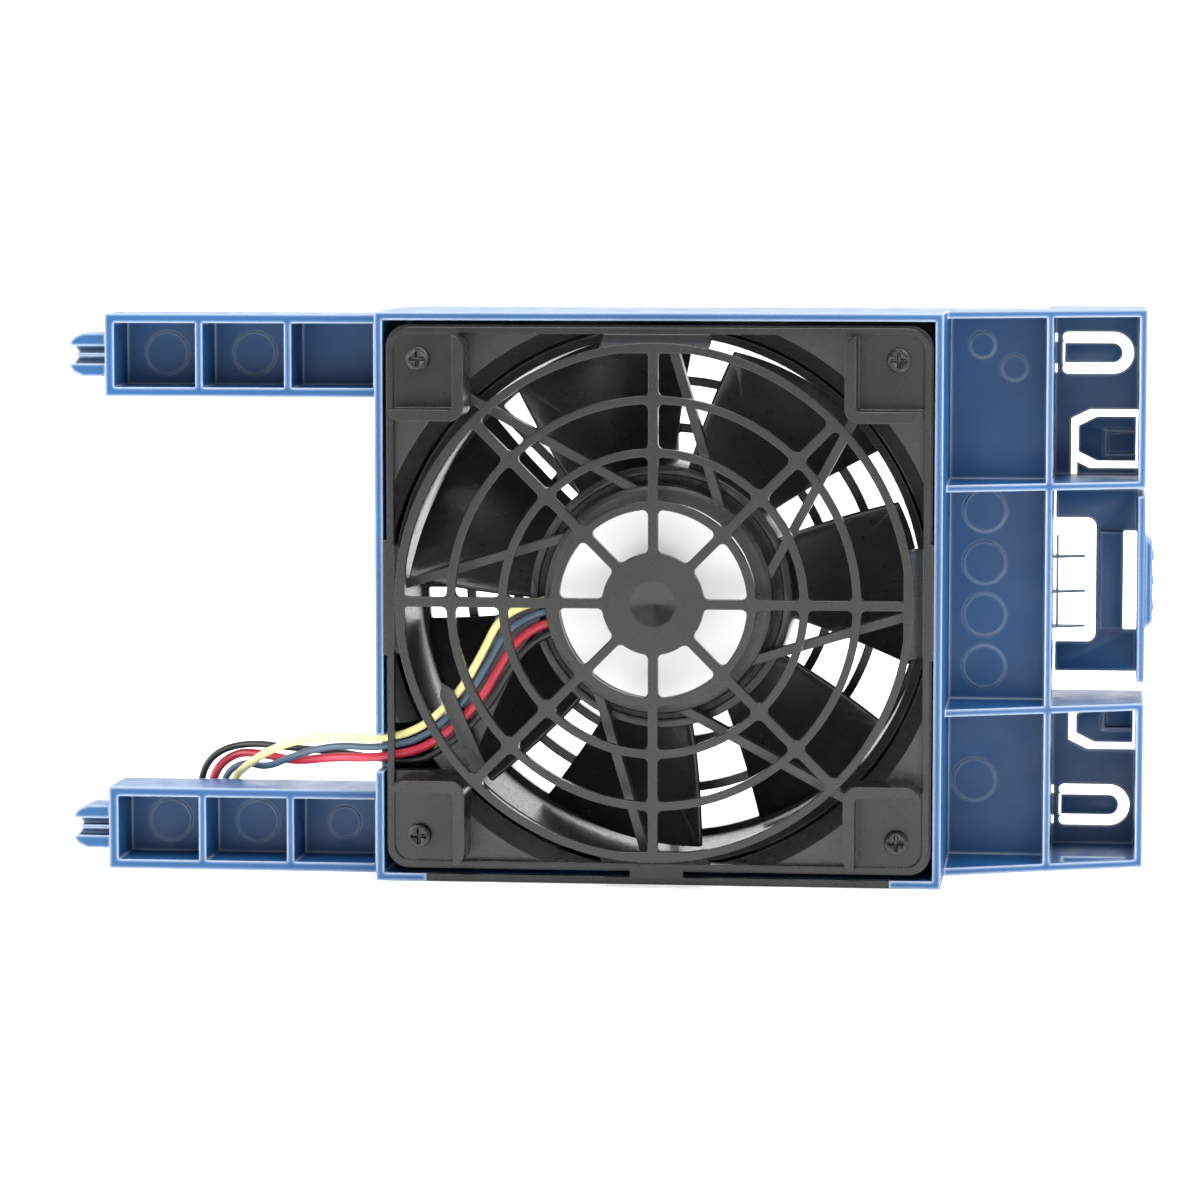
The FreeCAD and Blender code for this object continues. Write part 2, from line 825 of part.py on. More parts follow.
def thumb_pad():
    """The raised thumb pad on the latch's end wall, bevelled round and ridged across."""
    low, high = "(pad_offset - pad_high / 2)", "(pad_offset + pad_high / 2)"
    shape = [
        (f"{BLOCK_RIGHT} - {BURIED}", low),
        (BLOCK_RIGHT, low),
        (f"{BLOCK_RIGHT} + latch_pad", f"{low} + pad_bevel"),
        (f"{BLOCK_RIGHT} + latch_pad", f"{high} - pad_bevel"),
        (BLOCK_RIGHT, high),
        (f"{BLOCK_RIGHT} - {BURIED}", high),
    ]
    pieces = [slab("pad_plate", "XZ_Plane", shape, "-(block_far + 19)", "18")]
    for index in (-1, 0, 1):
        up = f"pad_offset + {index} * grip_step"
        ridge = DOC.addObject("Part::Cylinder", "pad_ridge")
        bind(ridge, "Radius", "0.6")
        bind(ridge, "Height", "14")
        ridge.Placement.Rotation = FreeCAD.Rotation(Vector(1, 0, 0), -90)
        place(ridge, f"{BLOCK_RIGHT} + latch_pad - 0.2", "block_far + 3", up)
        pieces.append(ridge)
    return pieces


# ---------------------------------------------------------------- guards and screws


def ring_radius(index):
    """The middle radius of one of the front grille's rings, counted from the hub."""
    return f"(ring_first + {index} * {RING_STEP})"


def cell_wire(inner, outer, half_spoke, fillet, half_angle):
    """One cell of a grille between two spokes and two rings, with rounded corners."""

    def corner(radius, sign):
        reach = radius + sign * fillet
        up = half_spoke + fillet
        across = math.sqrt(reach * reach - up * up)
        on_ring = Vector(across, up, 0) * (radius / reach)
        on_spoke = Vector(across, half_spoke, 0)
        centre = Vector(across, up, 0)
        toward = (on_ring - centre).normalize() + (on_spoke - centre).normalize()
        return on_spoke, centre + toward.normalize() * fillet, on_ring

    def mirrored(point):
        turn = 4 * half_angle
        length, angle = point.Length, math.atan2(point.y, point.x)
        return Vector(length * math.cos(turn / 2 - angle), length * math.sin(turn / 2 - angle), 0)

    low, high = corner(inner, 1), corner(outer, -1)
    low_far = [mirrored(point) for point in low]
    high_far = [mirrored(point) for point in high]
    middle = Vector(math.cos(half_angle), math.sin(half_angle), 0)
    return [
        Part.LineSegment(low[0], high[0]),
        Part.Arc(high[0], high[1], high[2]),
        Part.Arc(high[2], middle * outer, high_far[2]),
        Part.Arc(high_far[2], high_far[1], high_far[0]),
        Part.LineSegment(high_far[0], low_far[0]),
        Part.Arc(low_far[0], low_far[1], low_far[2]),
        Part.Arc(low_far[2], middle * inner, low[2]),
        Part.Arc(low[2], low[1], low[0]),
    ]


def grille(name, hub, radii, ring_wide, spoke_wide, fillet, front, thick):
    """Rings and spokes: a turned disc with one pocket of cells, copied round the axis."""
    body = DOC.addObject("PartDesign::Body", name)
    disc = body.newObject("PartDesign::Revolution", name + "_disc")
    rim = f"{radii[-1]} + {ring_wide} / 2"
    face = [("0", front), (rim, front), (rim, f"{front} + {thick}"), ("0", f"{front} + {thick}")]
    disc.Profile = outline(body, "XY_Plane", face)
    disc.ReferenceAxis = (disc.Profile[0], ["V_Axis"])
    disc.Angle = 360
    cells = body.newObject("Sketcher::SketchObject", name + "_cells")
    cells.AttachmentSupport = [(origin_plane(body, "XZ_Plane"), "")]
    cells.MapMode = "FlatFace"
    bind(cells, "AttachmentOffset.Base.z", f"-({front})")
    inner = number(hub)
    for radius in radii:
        outer = number(f"{radius} - {ring_wide} / 2")
        half_angle = math.pi / number("spoke_count")
        for edge in cell_wire(inner, outer, number(spoke_wide) / 2, number(fillet), half_angle):
            cells.addGeometry(edge, False)
        inner = number(f"{radius} + {ring_wide} / 2")
    pocket = body.newObject("PartDesign::Pocket", name + "_pocket")
    pocket.Profile = cells
    bind(pocket, "Length", thick)
    DOC.recompute()
    return turned_about_axis(body, "spoke_count", name + "_round")


def guard_tabs():
    """Four sloped tabs that carry the raised grille from the frame."""
    ring = f"({ring_radius(3)} - 1.4)"
    edge = GUARD_HALF
    shape = [
        ("-guard_rise", ring),
        ("-guard_rise", f"{ring} + 0.8"),
        ("0", f"{edge} - guard_bar"),
        ("0", edge),
        ("guard_thick", edge),
        ("guard_thick", f"{edge} - 3"),
        ("grille_thick - guard_rise", ring),
    ]
    body = slab("guard_tab", "YZ_Plane", shape, "-tab_wide / 2", "tab_wide")
    DOC.recompute()
    return turned_about_axis(body, "4", "guard_tab_round")


def guard_frame():
    """The square frame with its four corner plates."""
    edge = GUARD_HALF
    outer = rounded(
        "frame_outer",
        (f"(-{edge})", "0", f"(-{edge})"),
        (GUARD_SIZE, "guard_thick", GUARD_SIZE),
        "fan_corner",
    )
    inner = rounded(
        "frame_inner",
        (f"(-{edge} + guard_bar)", f"(-{THROUGH})", f"(-{edge} + guard_bar)"),
        (
            f"({GUARD_SIZE} - 2 * guard_bar)",
            f"(guard_thick + 2 * {THROUGH})",
            f"({GUARD_SIZE} - 2 * guard_bar)",
        ),
        "(fan_corner - guard_bar)",
    )
    whole = rounded(
        "frame_whole",
        (f"(-{edge})", "(guard_thick - plate_thick)", f"(-{edge})"),
        (GUARD_SIZE, "plate_thick", GUARD_SIZE),
        "fan_corner",
    )
    corners = []
    for right, up in itertools.product((-1, 1), (-1, 1)):
        left = f"-{edge}" if right < 0 else f"{edge} - plate_wide"
        low = f"-{edge}" if up < 0 else f"{edge} - plate_high"
        size = ("plate_wide", "guard_thick", "plate_high")
        corners.append(block("corner_plate", (left, "0", low), size))
    plates = common("corner_plates", whole, join("corner_blocks", corners))
    return [cut("guard_square", outer, [inner]), plates]


def guard_posts():
    """Four L-shaped walls that stand on the corner plates' inner edges."""
    edge = GUARD_HALF
    pieces = []
    for right, up in itertools.product((-1, 1), (-1, 1)):
        wide = "(plate_wide + post_thick - guard_bar)"
        high = "(plate_high + post_thick - guard_bar)"
        left = f"({edge} - plate_wide - post_thick)" if right > 0 else f"(-{edge} + guard_bar)"
        low = f"({edge} - plate_high - post_thick)" if up > 0 else f"(-{edge} + guard_bar)"
        wall = rounded(
            "post_wall",
            (left, "(-guard_rise)", low),
            (wide, "(guard_rise + guard_thick)", high),
            "post_round",
        )
        left_in = f"{left} + post_thick" if right > 0 else f"{left} - 5"
        low_in = f"{low} + post_thick" if up > 0 else f"{low} - 5"
        hollow = rounded(
            "post_hollow",
            (f"({left_in})", f"(-guard_rise - {THROUGH})", f"({low_in})"),
            (
                f"({wide} - post_thick + 5)",
                f"(guard_rise + guard_thick + 2 * {THROUGH})",
                f"({high} - post_thick + 5)",
            ),
            "(post_round - 2)",
        )
        pieces.append(cut("guard_post", wall, [hollow]))
    return pieces


def guard_clips():
    """Side tongues that wedge the guard between the box's walls, and the lip under it."""
    edge = GUARD_HALF
    clips = []
    for left in (f"-{CAVITY_WIDE} / 2", f"{edge} - guard_bar"):
        size = (f"{CAVITY_WIDE} / 2 - {edge} + guard_bar", "guard_thick", "clip_high")
        clips.append(block("side_clip", (left, "0", "-clip_high / 2"), size))
    bottom = f"-{BOX_HIGH} / 2"
    lip = block(
        "guard_lip",
        (f"-{LIP_LONG} / 2", "0", f"{bottom} + lip_lift"),
        (LIP_LONG, "lip_deep", "box_wall - lip_lift"),
    )
    bridge = block(
        "lip_bridge",
        ("-tab_wide / 4", "0", f"{bottom} + box_wall"),
        ("tab_wide / 2", "lip_deep", f"top_gap + fan_size / 2 - {edge} + guard_bar"),
    )
    return clips + [lip, bridge]


def screw_spots():
    """The four screws' places at the fan's corners."""
    half = f"{SCREW_PITCH} / 2"
    corners = itertools.product((-1, 1), (-1, 1))
    return [(f"{right} * {half}", f"{up} * {half}") for right, up in corners]


def build_front_guard():
    radii = [ring_radius(index) for index in range(4)]
    front = "(-guard_rise)"
    rings = grille(
        "grille",
        "grille_hub",
        radii,
        "ring_wide",
        "spoke_wide",
        "cell_round",
        front,
        "grille_thick",
    )
    dimple = cone("grille_dimple_cut", "grille_dimple", "0.4", front, f"{front} + 1.2")
    holes = [
        rod("guard_hole", "flange_hole", f"-{THROUGH}", f"guard_thick + {THROUGH}", x, z)
        for x, z in screw_spots()
    ]
    solid = join(
        "guard_solid", [rings, guard_tabs()] + guard_frame() + guard_posts() + guard_clips()
    )
    finish(cut("front_guard", solid, [dimple] + holes), "front_guard")


def build_rear_guard():
    """The flat guard on the inlet side, inside the box's rear lip."""
    radii = [f"(rear_first + {index} * {REAR_STEP})" for index in range(4)]
    rings = grille(
        "rear_grille",
        "rear_hub",
        radii,
        "rear_bar",
        "rear_bar",
        "0.3 * rear_bar",
        FAN_BACK,
        "rear_thick",
    )
    ears, holes = [], []
    for x, z in screw_spots():
        ears.append(rod("rear_ear", "ear_radius", FAN_BACK, REAR_BACK, x, z))
        holes.append(
            rod(
                "rear_hole",
                "flange_hole",
                f"{FAN_BACK} - {THROUGH}",
                f"{REAR_BACK} + {THROUGH}",
                x,
                z,
            )
        )
    size = ("rear_bar", "rear_thick", SCREW_PITCH)
    long = (SCREW_PITCH, "rear_thick", "rear_bar")
    for side in (-1, 1):
        edge = f"{side} * ({SCREW_PITCH} / 2 + ear_radius - rear_bar / 2) - rear_bar / 2"
        ears.append(block("rear_upright", (edge, FAN_BACK, f"-{SCREW_PITCH} / 2"), size))
        ears.append(block("rear_rail", (f"-{SCREW_PITCH} / 2", FAN_BACK, edge), long))
    finish(cut("rear_guard", join("rear_solid", [rings] + ears), holes), "rear_guard")


def screw(name, x, z, seat, ahead):
    """A pan-head screw with a cross recess; ahead is 1 for a front screw, -1 for a rear one."""
    face = f"{seat} - {ahead} * head_high"
    ends = (face, seat) if ahead > 0 else (seat, face)
    head = rod(name + "_head", "head_radius", *ends, x, z)
    shank_end = f"{seat} + {ahead} * screw_long"
    ends = (seat, shank_end) if ahead > 0 else (shank_end, seat)
    shank = rod(name + "_shank", "flange_hole", *ends, x, z)
    low = face if ahead > 0 else f"{face} - cross_deep"
    low = f"{low} - {THROUGH}" if ahead > 0 else low
    reach = "head_radius * 1.3"
    slots = []
    for wide, high in ((reach, "cross_wide"), ("cross_wide", reach)):
        corner = (f"{x} - {wide} / 2", low, f"{z} - {high} / 2")
        slots.append(block(name + "_cross", corner, (wide, f"cross_deep + {THROUGH}", high)))
    return cut(name, join(name + "_solid", [head, shank]), slots)


def build_screws():
    front = [screw("front_screw", x, z, "(guard_thick - plate_thick)", 1) for x, z in screw_spots()]
    finish(group("front_screws", front), "front_screws")
    rear = [screw("rear_screw", x, z, REAR_BACK, -1) for x, z in screw_spots()]
    finish(group("rear_screws", rear), "rear_screws")


# ---------------------------------------------------------------- fan housing


def housing_shell():
    """The fan's frame: two square flanges on a round duct that flares at the outlet."""
    half = "fan_size / 2"
    flanges = []
    for start in (FAN_FRONT, f"({FAN_BACK} - flange_thick)"):
        flanges.append(
            rounded(
                "flange",
                (f"(-{half})", start, f"(-{half})"),
                ("fan_size", "flange_thick", "fan_size"),
                "fan_corner",
            )
        )
    duct = rod("duct", f"{DUCT_RADIUS} + duct_wall", FAN_FRONT, FAN_BACK)
    bore = rod("duct_bore", DUCT_RADIUS, f"{FAN_FRONT} - {THROUGH}", f"{FAN_BACK} + {THROUGH}")
    flat = f"({half} - flare_wall)"
    flare = cone(
        "flare_cone", FLARE_RADIUS, DUCT_RADIUS, FAN_FRONT, f"{FAN_FRONT} + flare_deep"
    )
    limit = block(
        "flare_limit", (f"-{flat}", "0", f"-{flat}"), (f"2 * {flat}", FAN_BACK, f"2 * {flat}")
    )
    holes = [
        rod(
            "flange_hole_cut",
            "flange_hole",
            f"{FAN_FRONT} - {THROUGH}",
            f"{FAN_BACK} + {THROUGH}",
            x,
            z,
        )
        for x, z in screw_spots()
    ]
    lead_way = block(
        "lead_way",
        (f"-{half} - {THROUGH}", f"{FAN_FRONT} - {THROUGH}", "notch_top - notch_high"),
        (f"{half} - 44", f"notch_deep + {THROUGH} - {FAN_FRONT}", "notch_high + 2.6"),
    )
    tools = [bore, common("flare", flare, limit), lead_way] + holes
    return cut("housing_shell", join("housing_solid", flanges + [duct]), tools)


def strut():
    """Straight struts that lean as they run out to the duct; the wire tray has the last place."""
    reach = f"({FLARE_RADIUS} + 2)"
    start = "(base_radius - 1.5)"
    inner = (f"{start} * cos(-strut_lean * 1deg)", f"{start} * sin(-strut_lean * 1deg)")
    direction = math.atan2(-number(inner[1]), number(reach) - number(inner[0]))
    side = (
        f"strut_wide / 2 * {-math.sin(direction):.6f}",
        f"strut_wide / 2 * {math.cos(direction):.6f}",
    )
    shape = [
        (f"-({inner[0]} + {side[0]})", f"-({inner[1]} + {side[1]})"),
        (f"-({inner[0]} - {side[0]})", f"-({inner[1]} - {side[1]})"),
        (f"-({reach} - {side[0]})", side[1]),
        (f"-({reach} + {side[0]})", f"-({side[1]})"),
    ]
    back = f"{FAN_FRONT} + strut_set + strut_deep"
    body = slab("strut", "XZ_Plane", shape, f"-({back})", "strut_deep")
    DOC.recompute()
    return turned_about_axis(body, "strut_count", "strut_round", left_out=1)


def motor_base():
    """The round base that carries the motor, hollowed for the tube and ledged for the board."""
    ledge_out, ledge_in = "(board_radius - 0.5)", "(board_radius - 2.5)"
    return turned(
        "motor_base",
        [
            ("0", BASE_FRONT),
            ("base_radius - base_round", BASE_FRONT),
            ("base_radius - 0.3 * base_round", f"{BASE_FRONT} + 0.3 * base_round"),
            ("base_radius", f"{BASE_FRONT} + base_round"),
            ("base_radius", BASE_BACK),
            (ledge_out, BASE_BACK),
            (ledge_out, BOARD_FRONT),
            (ledge_in, BOARD_FRONT),
            (ledge_in, BASE_BACK),
            (TUBE_RADIUS, BASE_BACK),
            (TUBE_RADIUS, f"{FAN_FRONT} + tube_front"),
            ("0", f"{FAN_FRONT} + tube_front"),
        ],
    )


def duct_share(points):
    """Points drawn for a duct of 57.5 mm radius, scaled to the real one."""
    share = f"{DUCT_RADIUS} / 57.5"
    return [(f"{across} * {share}", f"{up} * {share}") for across, up in points]


def wire_tray():
    """The wide strut behind the lead, from the motor base to the duct's lower left."""
    shape = [
        (-23, -2), (-29.3, -9.8), (-39.1, -31), (-45.5, -46),
        (-51, -36), (-45, -20.5), (-40, -12), (-36, -4), (-23.5, 1),
    ]  # fmt: skip
    return slab("wire_tray", "XZ_Plane", duct_share(shape), "-(5.5 + tray_thick)", "tray_thick")


def wire_hook():
    """The pointed hook over the lead, rooted in the housing's lower left corner."""
    shape = [
        (-45.5, -48), (-37.8, -37.6), (-45.2, -20.6), (-47.8, -19),
        (-48.2, -21.8), (-41.6, -37.2), (-48.5, -45.5),
    ]  # fmt: skip
    offset = f"-({FAN_FRONT} + hook_thick)"
    return slab("wire_hook", "XZ_Plane", duct_share(shape), offset, "hook_thick")


def trimmed_struts():
    """The struts and the wire tray, ending just inside the duct's flared wall."""
    start, end = f"({FAN_FRONT} + 0.5)", f"({FAN_FRONT} + flare_deep)"
    reach = cone("strut_reach", f"{FLARE_RADIUS} + 0.6", f"{DUCT_RADIUS} + 1", start, end)
    half = "(fan_size / 2 - 0.6)"
    walls = block(
        "strut_walls", (f"-{half}", start, f"-{half}"), (f"2 * {half}", "flare_deep", f"2 * {half}")
    )
    limit = common("strut_limit", reach, walls)
    return common("struts_trimmed", join("struts_joined", [strut(), wire_tray()]), limit)


def build_housing():
    pieces = [housing_shell(), trimmed_struts(), motor_base(), wire_hook()]
    solid = join("housing_joined", pieces)
    lead_door = block(
        "lead_door",
        (f"-base_radius - {THROUGH}", f"{BASE_FRONT} + 0.6", "-9"),
        ("10.5", "base_thick + board_ledge", "11"),
    )
    finish(cut("fan_housing", solid, [lead_door]), "fan_housing")
    label = turned(
        "motor_label",
        [
            ("0", f"{BASE_FRONT} - label_thick"),
            ("label_radius", f"{BASE_FRONT} - label_thick"),
            ("label_radius", BASE_FRONT),
            ("0", BASE_FRONT),
        ],
    )
    finish(label, "motor_label")


# ---------------------------------------------------------------- impeller


def blade_section(body, distance, width, bow):
    """One closed blade section, on a plane at that distance from the axis.

    The section runs from the outlet edge to the inlet edge, bowed towards the inlet.
    """
    front, back = number(f"{FAN_FRONT} + blade_front"), number(f"{FAN_FRONT} + blade_back")
    shift = distance * math.tan(
        math.radians(number("blade_sweep") * (distance / number(TIP_RADIUS) - 0.6))
    )
    left, right = shift - width / 2, shift + width / 2
    edge, thick = number("blade_edge") / 2, number("blade_thick") / 2
    run = Vector(right - left, back - front, 0)
    normal = Vector(-run.y, run.x, 0).normalize()
    middle = Vector((left + right) / 2, (front + back) / 2, 0) + normal * bow
    start, end = Vector(left, front, 0), Vector(right, back, 0)
    sketch = body.newObject("Sketcher::SketchObject", "blade_section")
    sketch.AttachmentSupport = [(origin_plane(body, "XY_Plane"), "")]
    sketch.MapMode = "FlatFace"
    sketch.AttachmentOffset = FreeCAD.Placement(Vector(0, 0, distance), FreeCAD.Rotation())
    corners = [
        start + normal * edge, end + normal * edge, end - normal * edge, start - normal * edge
    ]
    sketch.addGeometry(Part.Arc(corners[0], middle + normal * thick, corners[1]), False)
    sketch.addGeometry(Part.LineSegment(corners[1], corners[2]), False)
    sketch.addGeometry(Part.Arc(corners[2], middle - normal * thick, corners[3]), False)
    sketch.addGeometry(Part.LineSegment(corners[3], corners[0]), False)
    return sketch


def build_impeller():
    """The blades, lofted outward and trimmed to the tip circle, on a cup with a shaft boss."""
    body = DOC.addObject("PartDesign::Body", "blades")
    near, far = number("0.75 * hub_radius"), number(f"{TIP_RADIUS} + 6")
    sections = []
    for distance in (near, (near + far) / 2, far):
        width = 2 * distance * math.tan(math.radians(number("blade_span") / 2))
        sections.append(blade_section(body, distance, width, 0.09 * width))
    loft = body.newObject("PartDesign::AdditiveLoft", "blade")
    loft.Profile = sections[0]
    loft.Sections = sections[1:]
    DOC.recompute()
    turned_about_axis(body, "blade_count", "blade_round")
    body.Placement.Rotation = FreeCAD.Rotation(Vector(0, -1, 0), 0)
    bind(body, "Placement.Rotation.Angle", "blade_turn")
    front, back = f"({FAN_FRONT} + hub_front)", f"({FAN_FRONT} + hub_back)"
    tips = rod("blade_tips", TIP_RADIUS, FAN_FRONT, FAN_BACK)
    roots = rod("blade_roots", "hub_radius - hub_wall / 2", "0", f"{FAN_BACK} + {THROUGH}")
    cup = turned(
        "hub_cup",
        [
            ("0", front),
            ("hub_radius", front),
            ("hub_radius", f"{back} - hub_round"),
            ("hub_radius - 0.3 * hub_round", f"{back} - 0.3 * hub_round"),
            ("hub_radius - hub_round", back),
            ("0", back),
        ],
    )
    floor = f"{back} - hub_wall"
    boss_front = f"{floor} - boss_long"
    hollow = turned(
        "hub_hollow",
        [
            ("0", FAN_FRONT),
            (YOKE_RADIUS, FAN_FRONT),
            (YOKE_RADIUS, floor),
            ("boss_radius", floor),
            ("boss_radius", boss_front),
            ("shaft_radius", boss_front),
            ("shaft_radius", floor),
            ("0", floor),
        ],
    )
    trimmed = common("blades_trimmed", body, cut("blade_ring", tips, [roots]))
    hub = cut("hub_shell", cup, [hollow])
    finish(join("impeller", [hub, trimmed], refine=False), "impeller")


# ---------------------------------------------------------------- motor


def ring_piece(node, inner, outer, start, end):
    """A plain turned ring."""
    finish(turned(node, [(inner, start), (outer, start), (outer, end), (inner, end)]), node)


def build_rotor():
    cup_back = f"({FAN_FRONT} + hub_back - hub_wall)"
    boss_front = f"({cup_back} - boss_long)"
    front = f"({FAN_FRONT} + yoke_front)"
    yoke = turned(
        "rotor_yoke",
        [
            (MAGNET_RADIUS, front),
            (YOKE_RADIUS, front),
            (YOKE_RADIUS, cup_back),
            ("boss_radius", cup_back),
            ("boss_radius", f"{cup_back} - yoke_wall"),
            (MAGNET_RADIUS, f"{cup_back} - yoke_wall"),
        ],
    )
    finish(yoke, "rotor_yoke")
    magnet = f"({FAN_FRONT} + magnet_front)"
    ring_piece(
        "rotor_magnet",
        f"{MAGNET_RADIUS} - magnet_thick",
        MAGNET_RADIUS,
        magnet,
        f"{magnet} + magnet_long",
    )
    shaft_front = f"({FAN_FRONT} + shaft_front)"
    shaft = rod("rotor_shaft", "shaft_radius", shaft_front, cup_back)
    groove_start = f"({FAN_FRONT} + bearing_front - clip_thick - 0.3)"
    groove = turned(
        "shaft_groove",
        [
            ("0.75 * shaft_radius", groove_start),
            ("2 * shaft_radius", groove_start),
            ("2 * shaft_radius", f"{groove_start} + clip_thick"),
            ("0.75 * shaft_radius", f"{groove_start} + clip_thick"),
        ],
    )
    finish(cut("grooved_shaft", shaft, [groove]), "rotor_shaft")
    clip = turned(
        "clip_ring",
        [
            ("0.75 * shaft_radius", groove_start),
            ("clip_radius", groove_start),
            ("clip_radius", f"{groove_start} + clip_thick"),
            ("0.75 * shaft_radius", f"{groove_start} + clip_thick"),
        ],
    )
    mouth = block(
        "clip_mouth", ("0", "0", "-shaft_radius / 2"), ("2 * clip_radius", FAN_BACK, "shaft_radius")
    )
    finish(cut("split_clip", clip, [mouth]), "retaining_clip")
    washer = f"({BEARING_TWO} + bearing_wide)"
    rim = f"({boss_front} - washer_thick)"
    cone_washer = turned(
        "preload_washer",
        [
            ("shaft_radius", washer),
            ("bearing_inner - 0.1", washer),
            ("bearing_inner - 0.1", f"{washer} + washer_thick"),
            ("boss_radius - 0.8", rim),
            ("boss_radius - 0.8", boss_front),
            ("boss_radius - 1.2", boss_front),
            ("shaft_radius", f"{washer} + 2 * washer_thick"),
        ],
    )
    finish(cone_washer, "preload_washer")


def build_bearings():
    for node, start in (
        ("front_bearing", f"({FAN_FRONT} + bearing_front)"), ("rear_bearing", BEARING_TWO)
    ):
        end = f"({start} + bearing_wide)"
        ring_piece(f"{node}_inner_ring", "shaft_radius", "bearing_inner", start, end)
        ring_piece(
            f"{node}_outer_ring", "bearing_inner + running_gap", "bearing_radius", start, end
        )
    tube = turned(
        "bearing_tube",
        [
            ("bearing_radius", f"{FAN_FRONT} + tube_front"),
            (TUBE_RADIUS, f"{FAN_FRONT} + tube_front"),
            (TUBE_RADIUS, TUBE_BACK),
            ("bearing_radius", TUBE_BACK),
            ("bearing_radius", BEARING_TWO),
            ("bearing_radius - 0.7", BEARING_TWO),
            ("bearing_radius - 0.7", f"{FAN_FRONT} + bearing_front + bearing_wide"),
            ("bearing_radius", f"{FAN_FRONT} + bearing_front + bearing_wide"),
        ],
    )
    finish(tube, "bearing_tube")


def build_stator():
    start, end = f"({FAN_FRONT} + core_front)", f"({FAN_FRONT} + core_front + core_long)"
    ring = f"({TUBE_RADIUS} + core_ring)"
    bore = rod("core_bore", TUBE_RADIUS, f"{start} - {THROUGH}", f"{end} + {THROUGH}")
    middle = rod("core_middle", ring, start, end)
    tips = cut(
        "core_tips_ring",
        rod("core_tips_out", CORE_RADIUS, start, end),
        [
            rod(
                "core_tips_in",
                f"{CORE_RADIUS} - tooth_tip",
                f"{start} - {THROUGH}",
                f"{end} + {THROUGH}",
            )
        ],
    )
    gaps = []
    for turn in (45, 135):
        gap = block(
            "tooth_gap", ("0", "0", "0"), (f"2 * {CORE_RADIUS} + 2", f"{end} + 5", "tooth_slot")
        )
        spin = FreeCAD.Rotation(Vector(0, -1, 0), turn)
        gap.Placement.Rotation = spin
        cosine, sine = math.cos(math.radians(turn)), math.sin(math.radians(turn))
        reach = f"({CORE_RADIUS} + 1)"
        place(
            gap,
            f"-{reach} * {cosine:.6f} + tooth_slot / 2 * {sine:.6f}",
            "0",
            f"-{reach} * {sine:.6f} - tooth_slot / 2 * {cosine:.6f}",
        )
        gaps.append(gap)
    reach = f"({CORE_RADIUS} - tooth_tip / 2)"
    teeth = [
        block(
            "tooth_across",
            (f"-{reach}", start, "-tooth_wide / 2"),
            (f"2 * {reach}", "core_long", "tooth_wide"),
        ),
        block(
            "tooth_up",
            ("-tooth_wide / 2", start, f"-{reach}"),
            ("tooth_wide", "core_long", f"2 * {reach}"),
        ),
    ]
    solid = join("core_solid", [middle, cut("core_tips", tips, gaps)] + teeth)
    finish(cut("stator_core", solid, [bore]), "stator_core")
    finish(group("stator_windings", windings(start, ring)), "stator_windings")
    for node, low, high in (
        ("front_insulator", f"{start} - 0.8", start),
        ("rear_insulator", end, f"{end} + 0.8"),
    ):
        ring_piece(node, TUBE_RADIUS, ring, low, high)


def windings(start, ring):
    """One coil round each tooth."""
    coils = []
    inner = f"({ring} + 0.3)"
    low = f"{start} - coil_rise"
    deep = "core_long + 2 * coil_rise"
    for index in range(4):
        along = index % 2 == 0
        side = "" if index < 2 else "-"
        near = inner if side == "" else f"-{inner} - coil_long"
        if along:
            outer = block("coil", (near, low, "-coil_wide / 2"), ("coil_long", deep, "coil_wide"))
            hole = block(
                "coil_hole",
                (f"{near} - 1", start, "-tooth_wide / 2"),
                ("coil_long + 2", "core_long", "tooth_wide"),
            )
        else:
            outer = block("coil", ("-coil_wide / 2", low, near), ("coil_wide", deep, "coil_long"))
            hole = block(
                "coil_hole",
                ("-tooth_wide / 2", start, f"{near} - 1"),
                ("tooth_wide", "core_long", "coil_long + 2"),
            )
        coils.append(cut("coil_wound", outer, [hole]))
    return coils


def build_board():
    """The motor's round circuit board with its driver, sensor and capacitor."""
    back = f"({BOARD_FRONT} + board_thick)"
    ring_piece("circuit_board", "board_bore", "board_radius", BOARD_FRONT, back)
    chips = [
        block("driver", ("9", back, "4"), ("5", "1.4", "4")),
        block("hall_sensor", ("-2", back, "16.5"), ("4", "1.2", "3")),
        rod("capacitor", "1.5", back, f"{back} + 2", "-14", "-9"),
    ]
    finish(group("board_parts", chips), "board_parts")


# ---------------------------------------------------------------- lead and plug

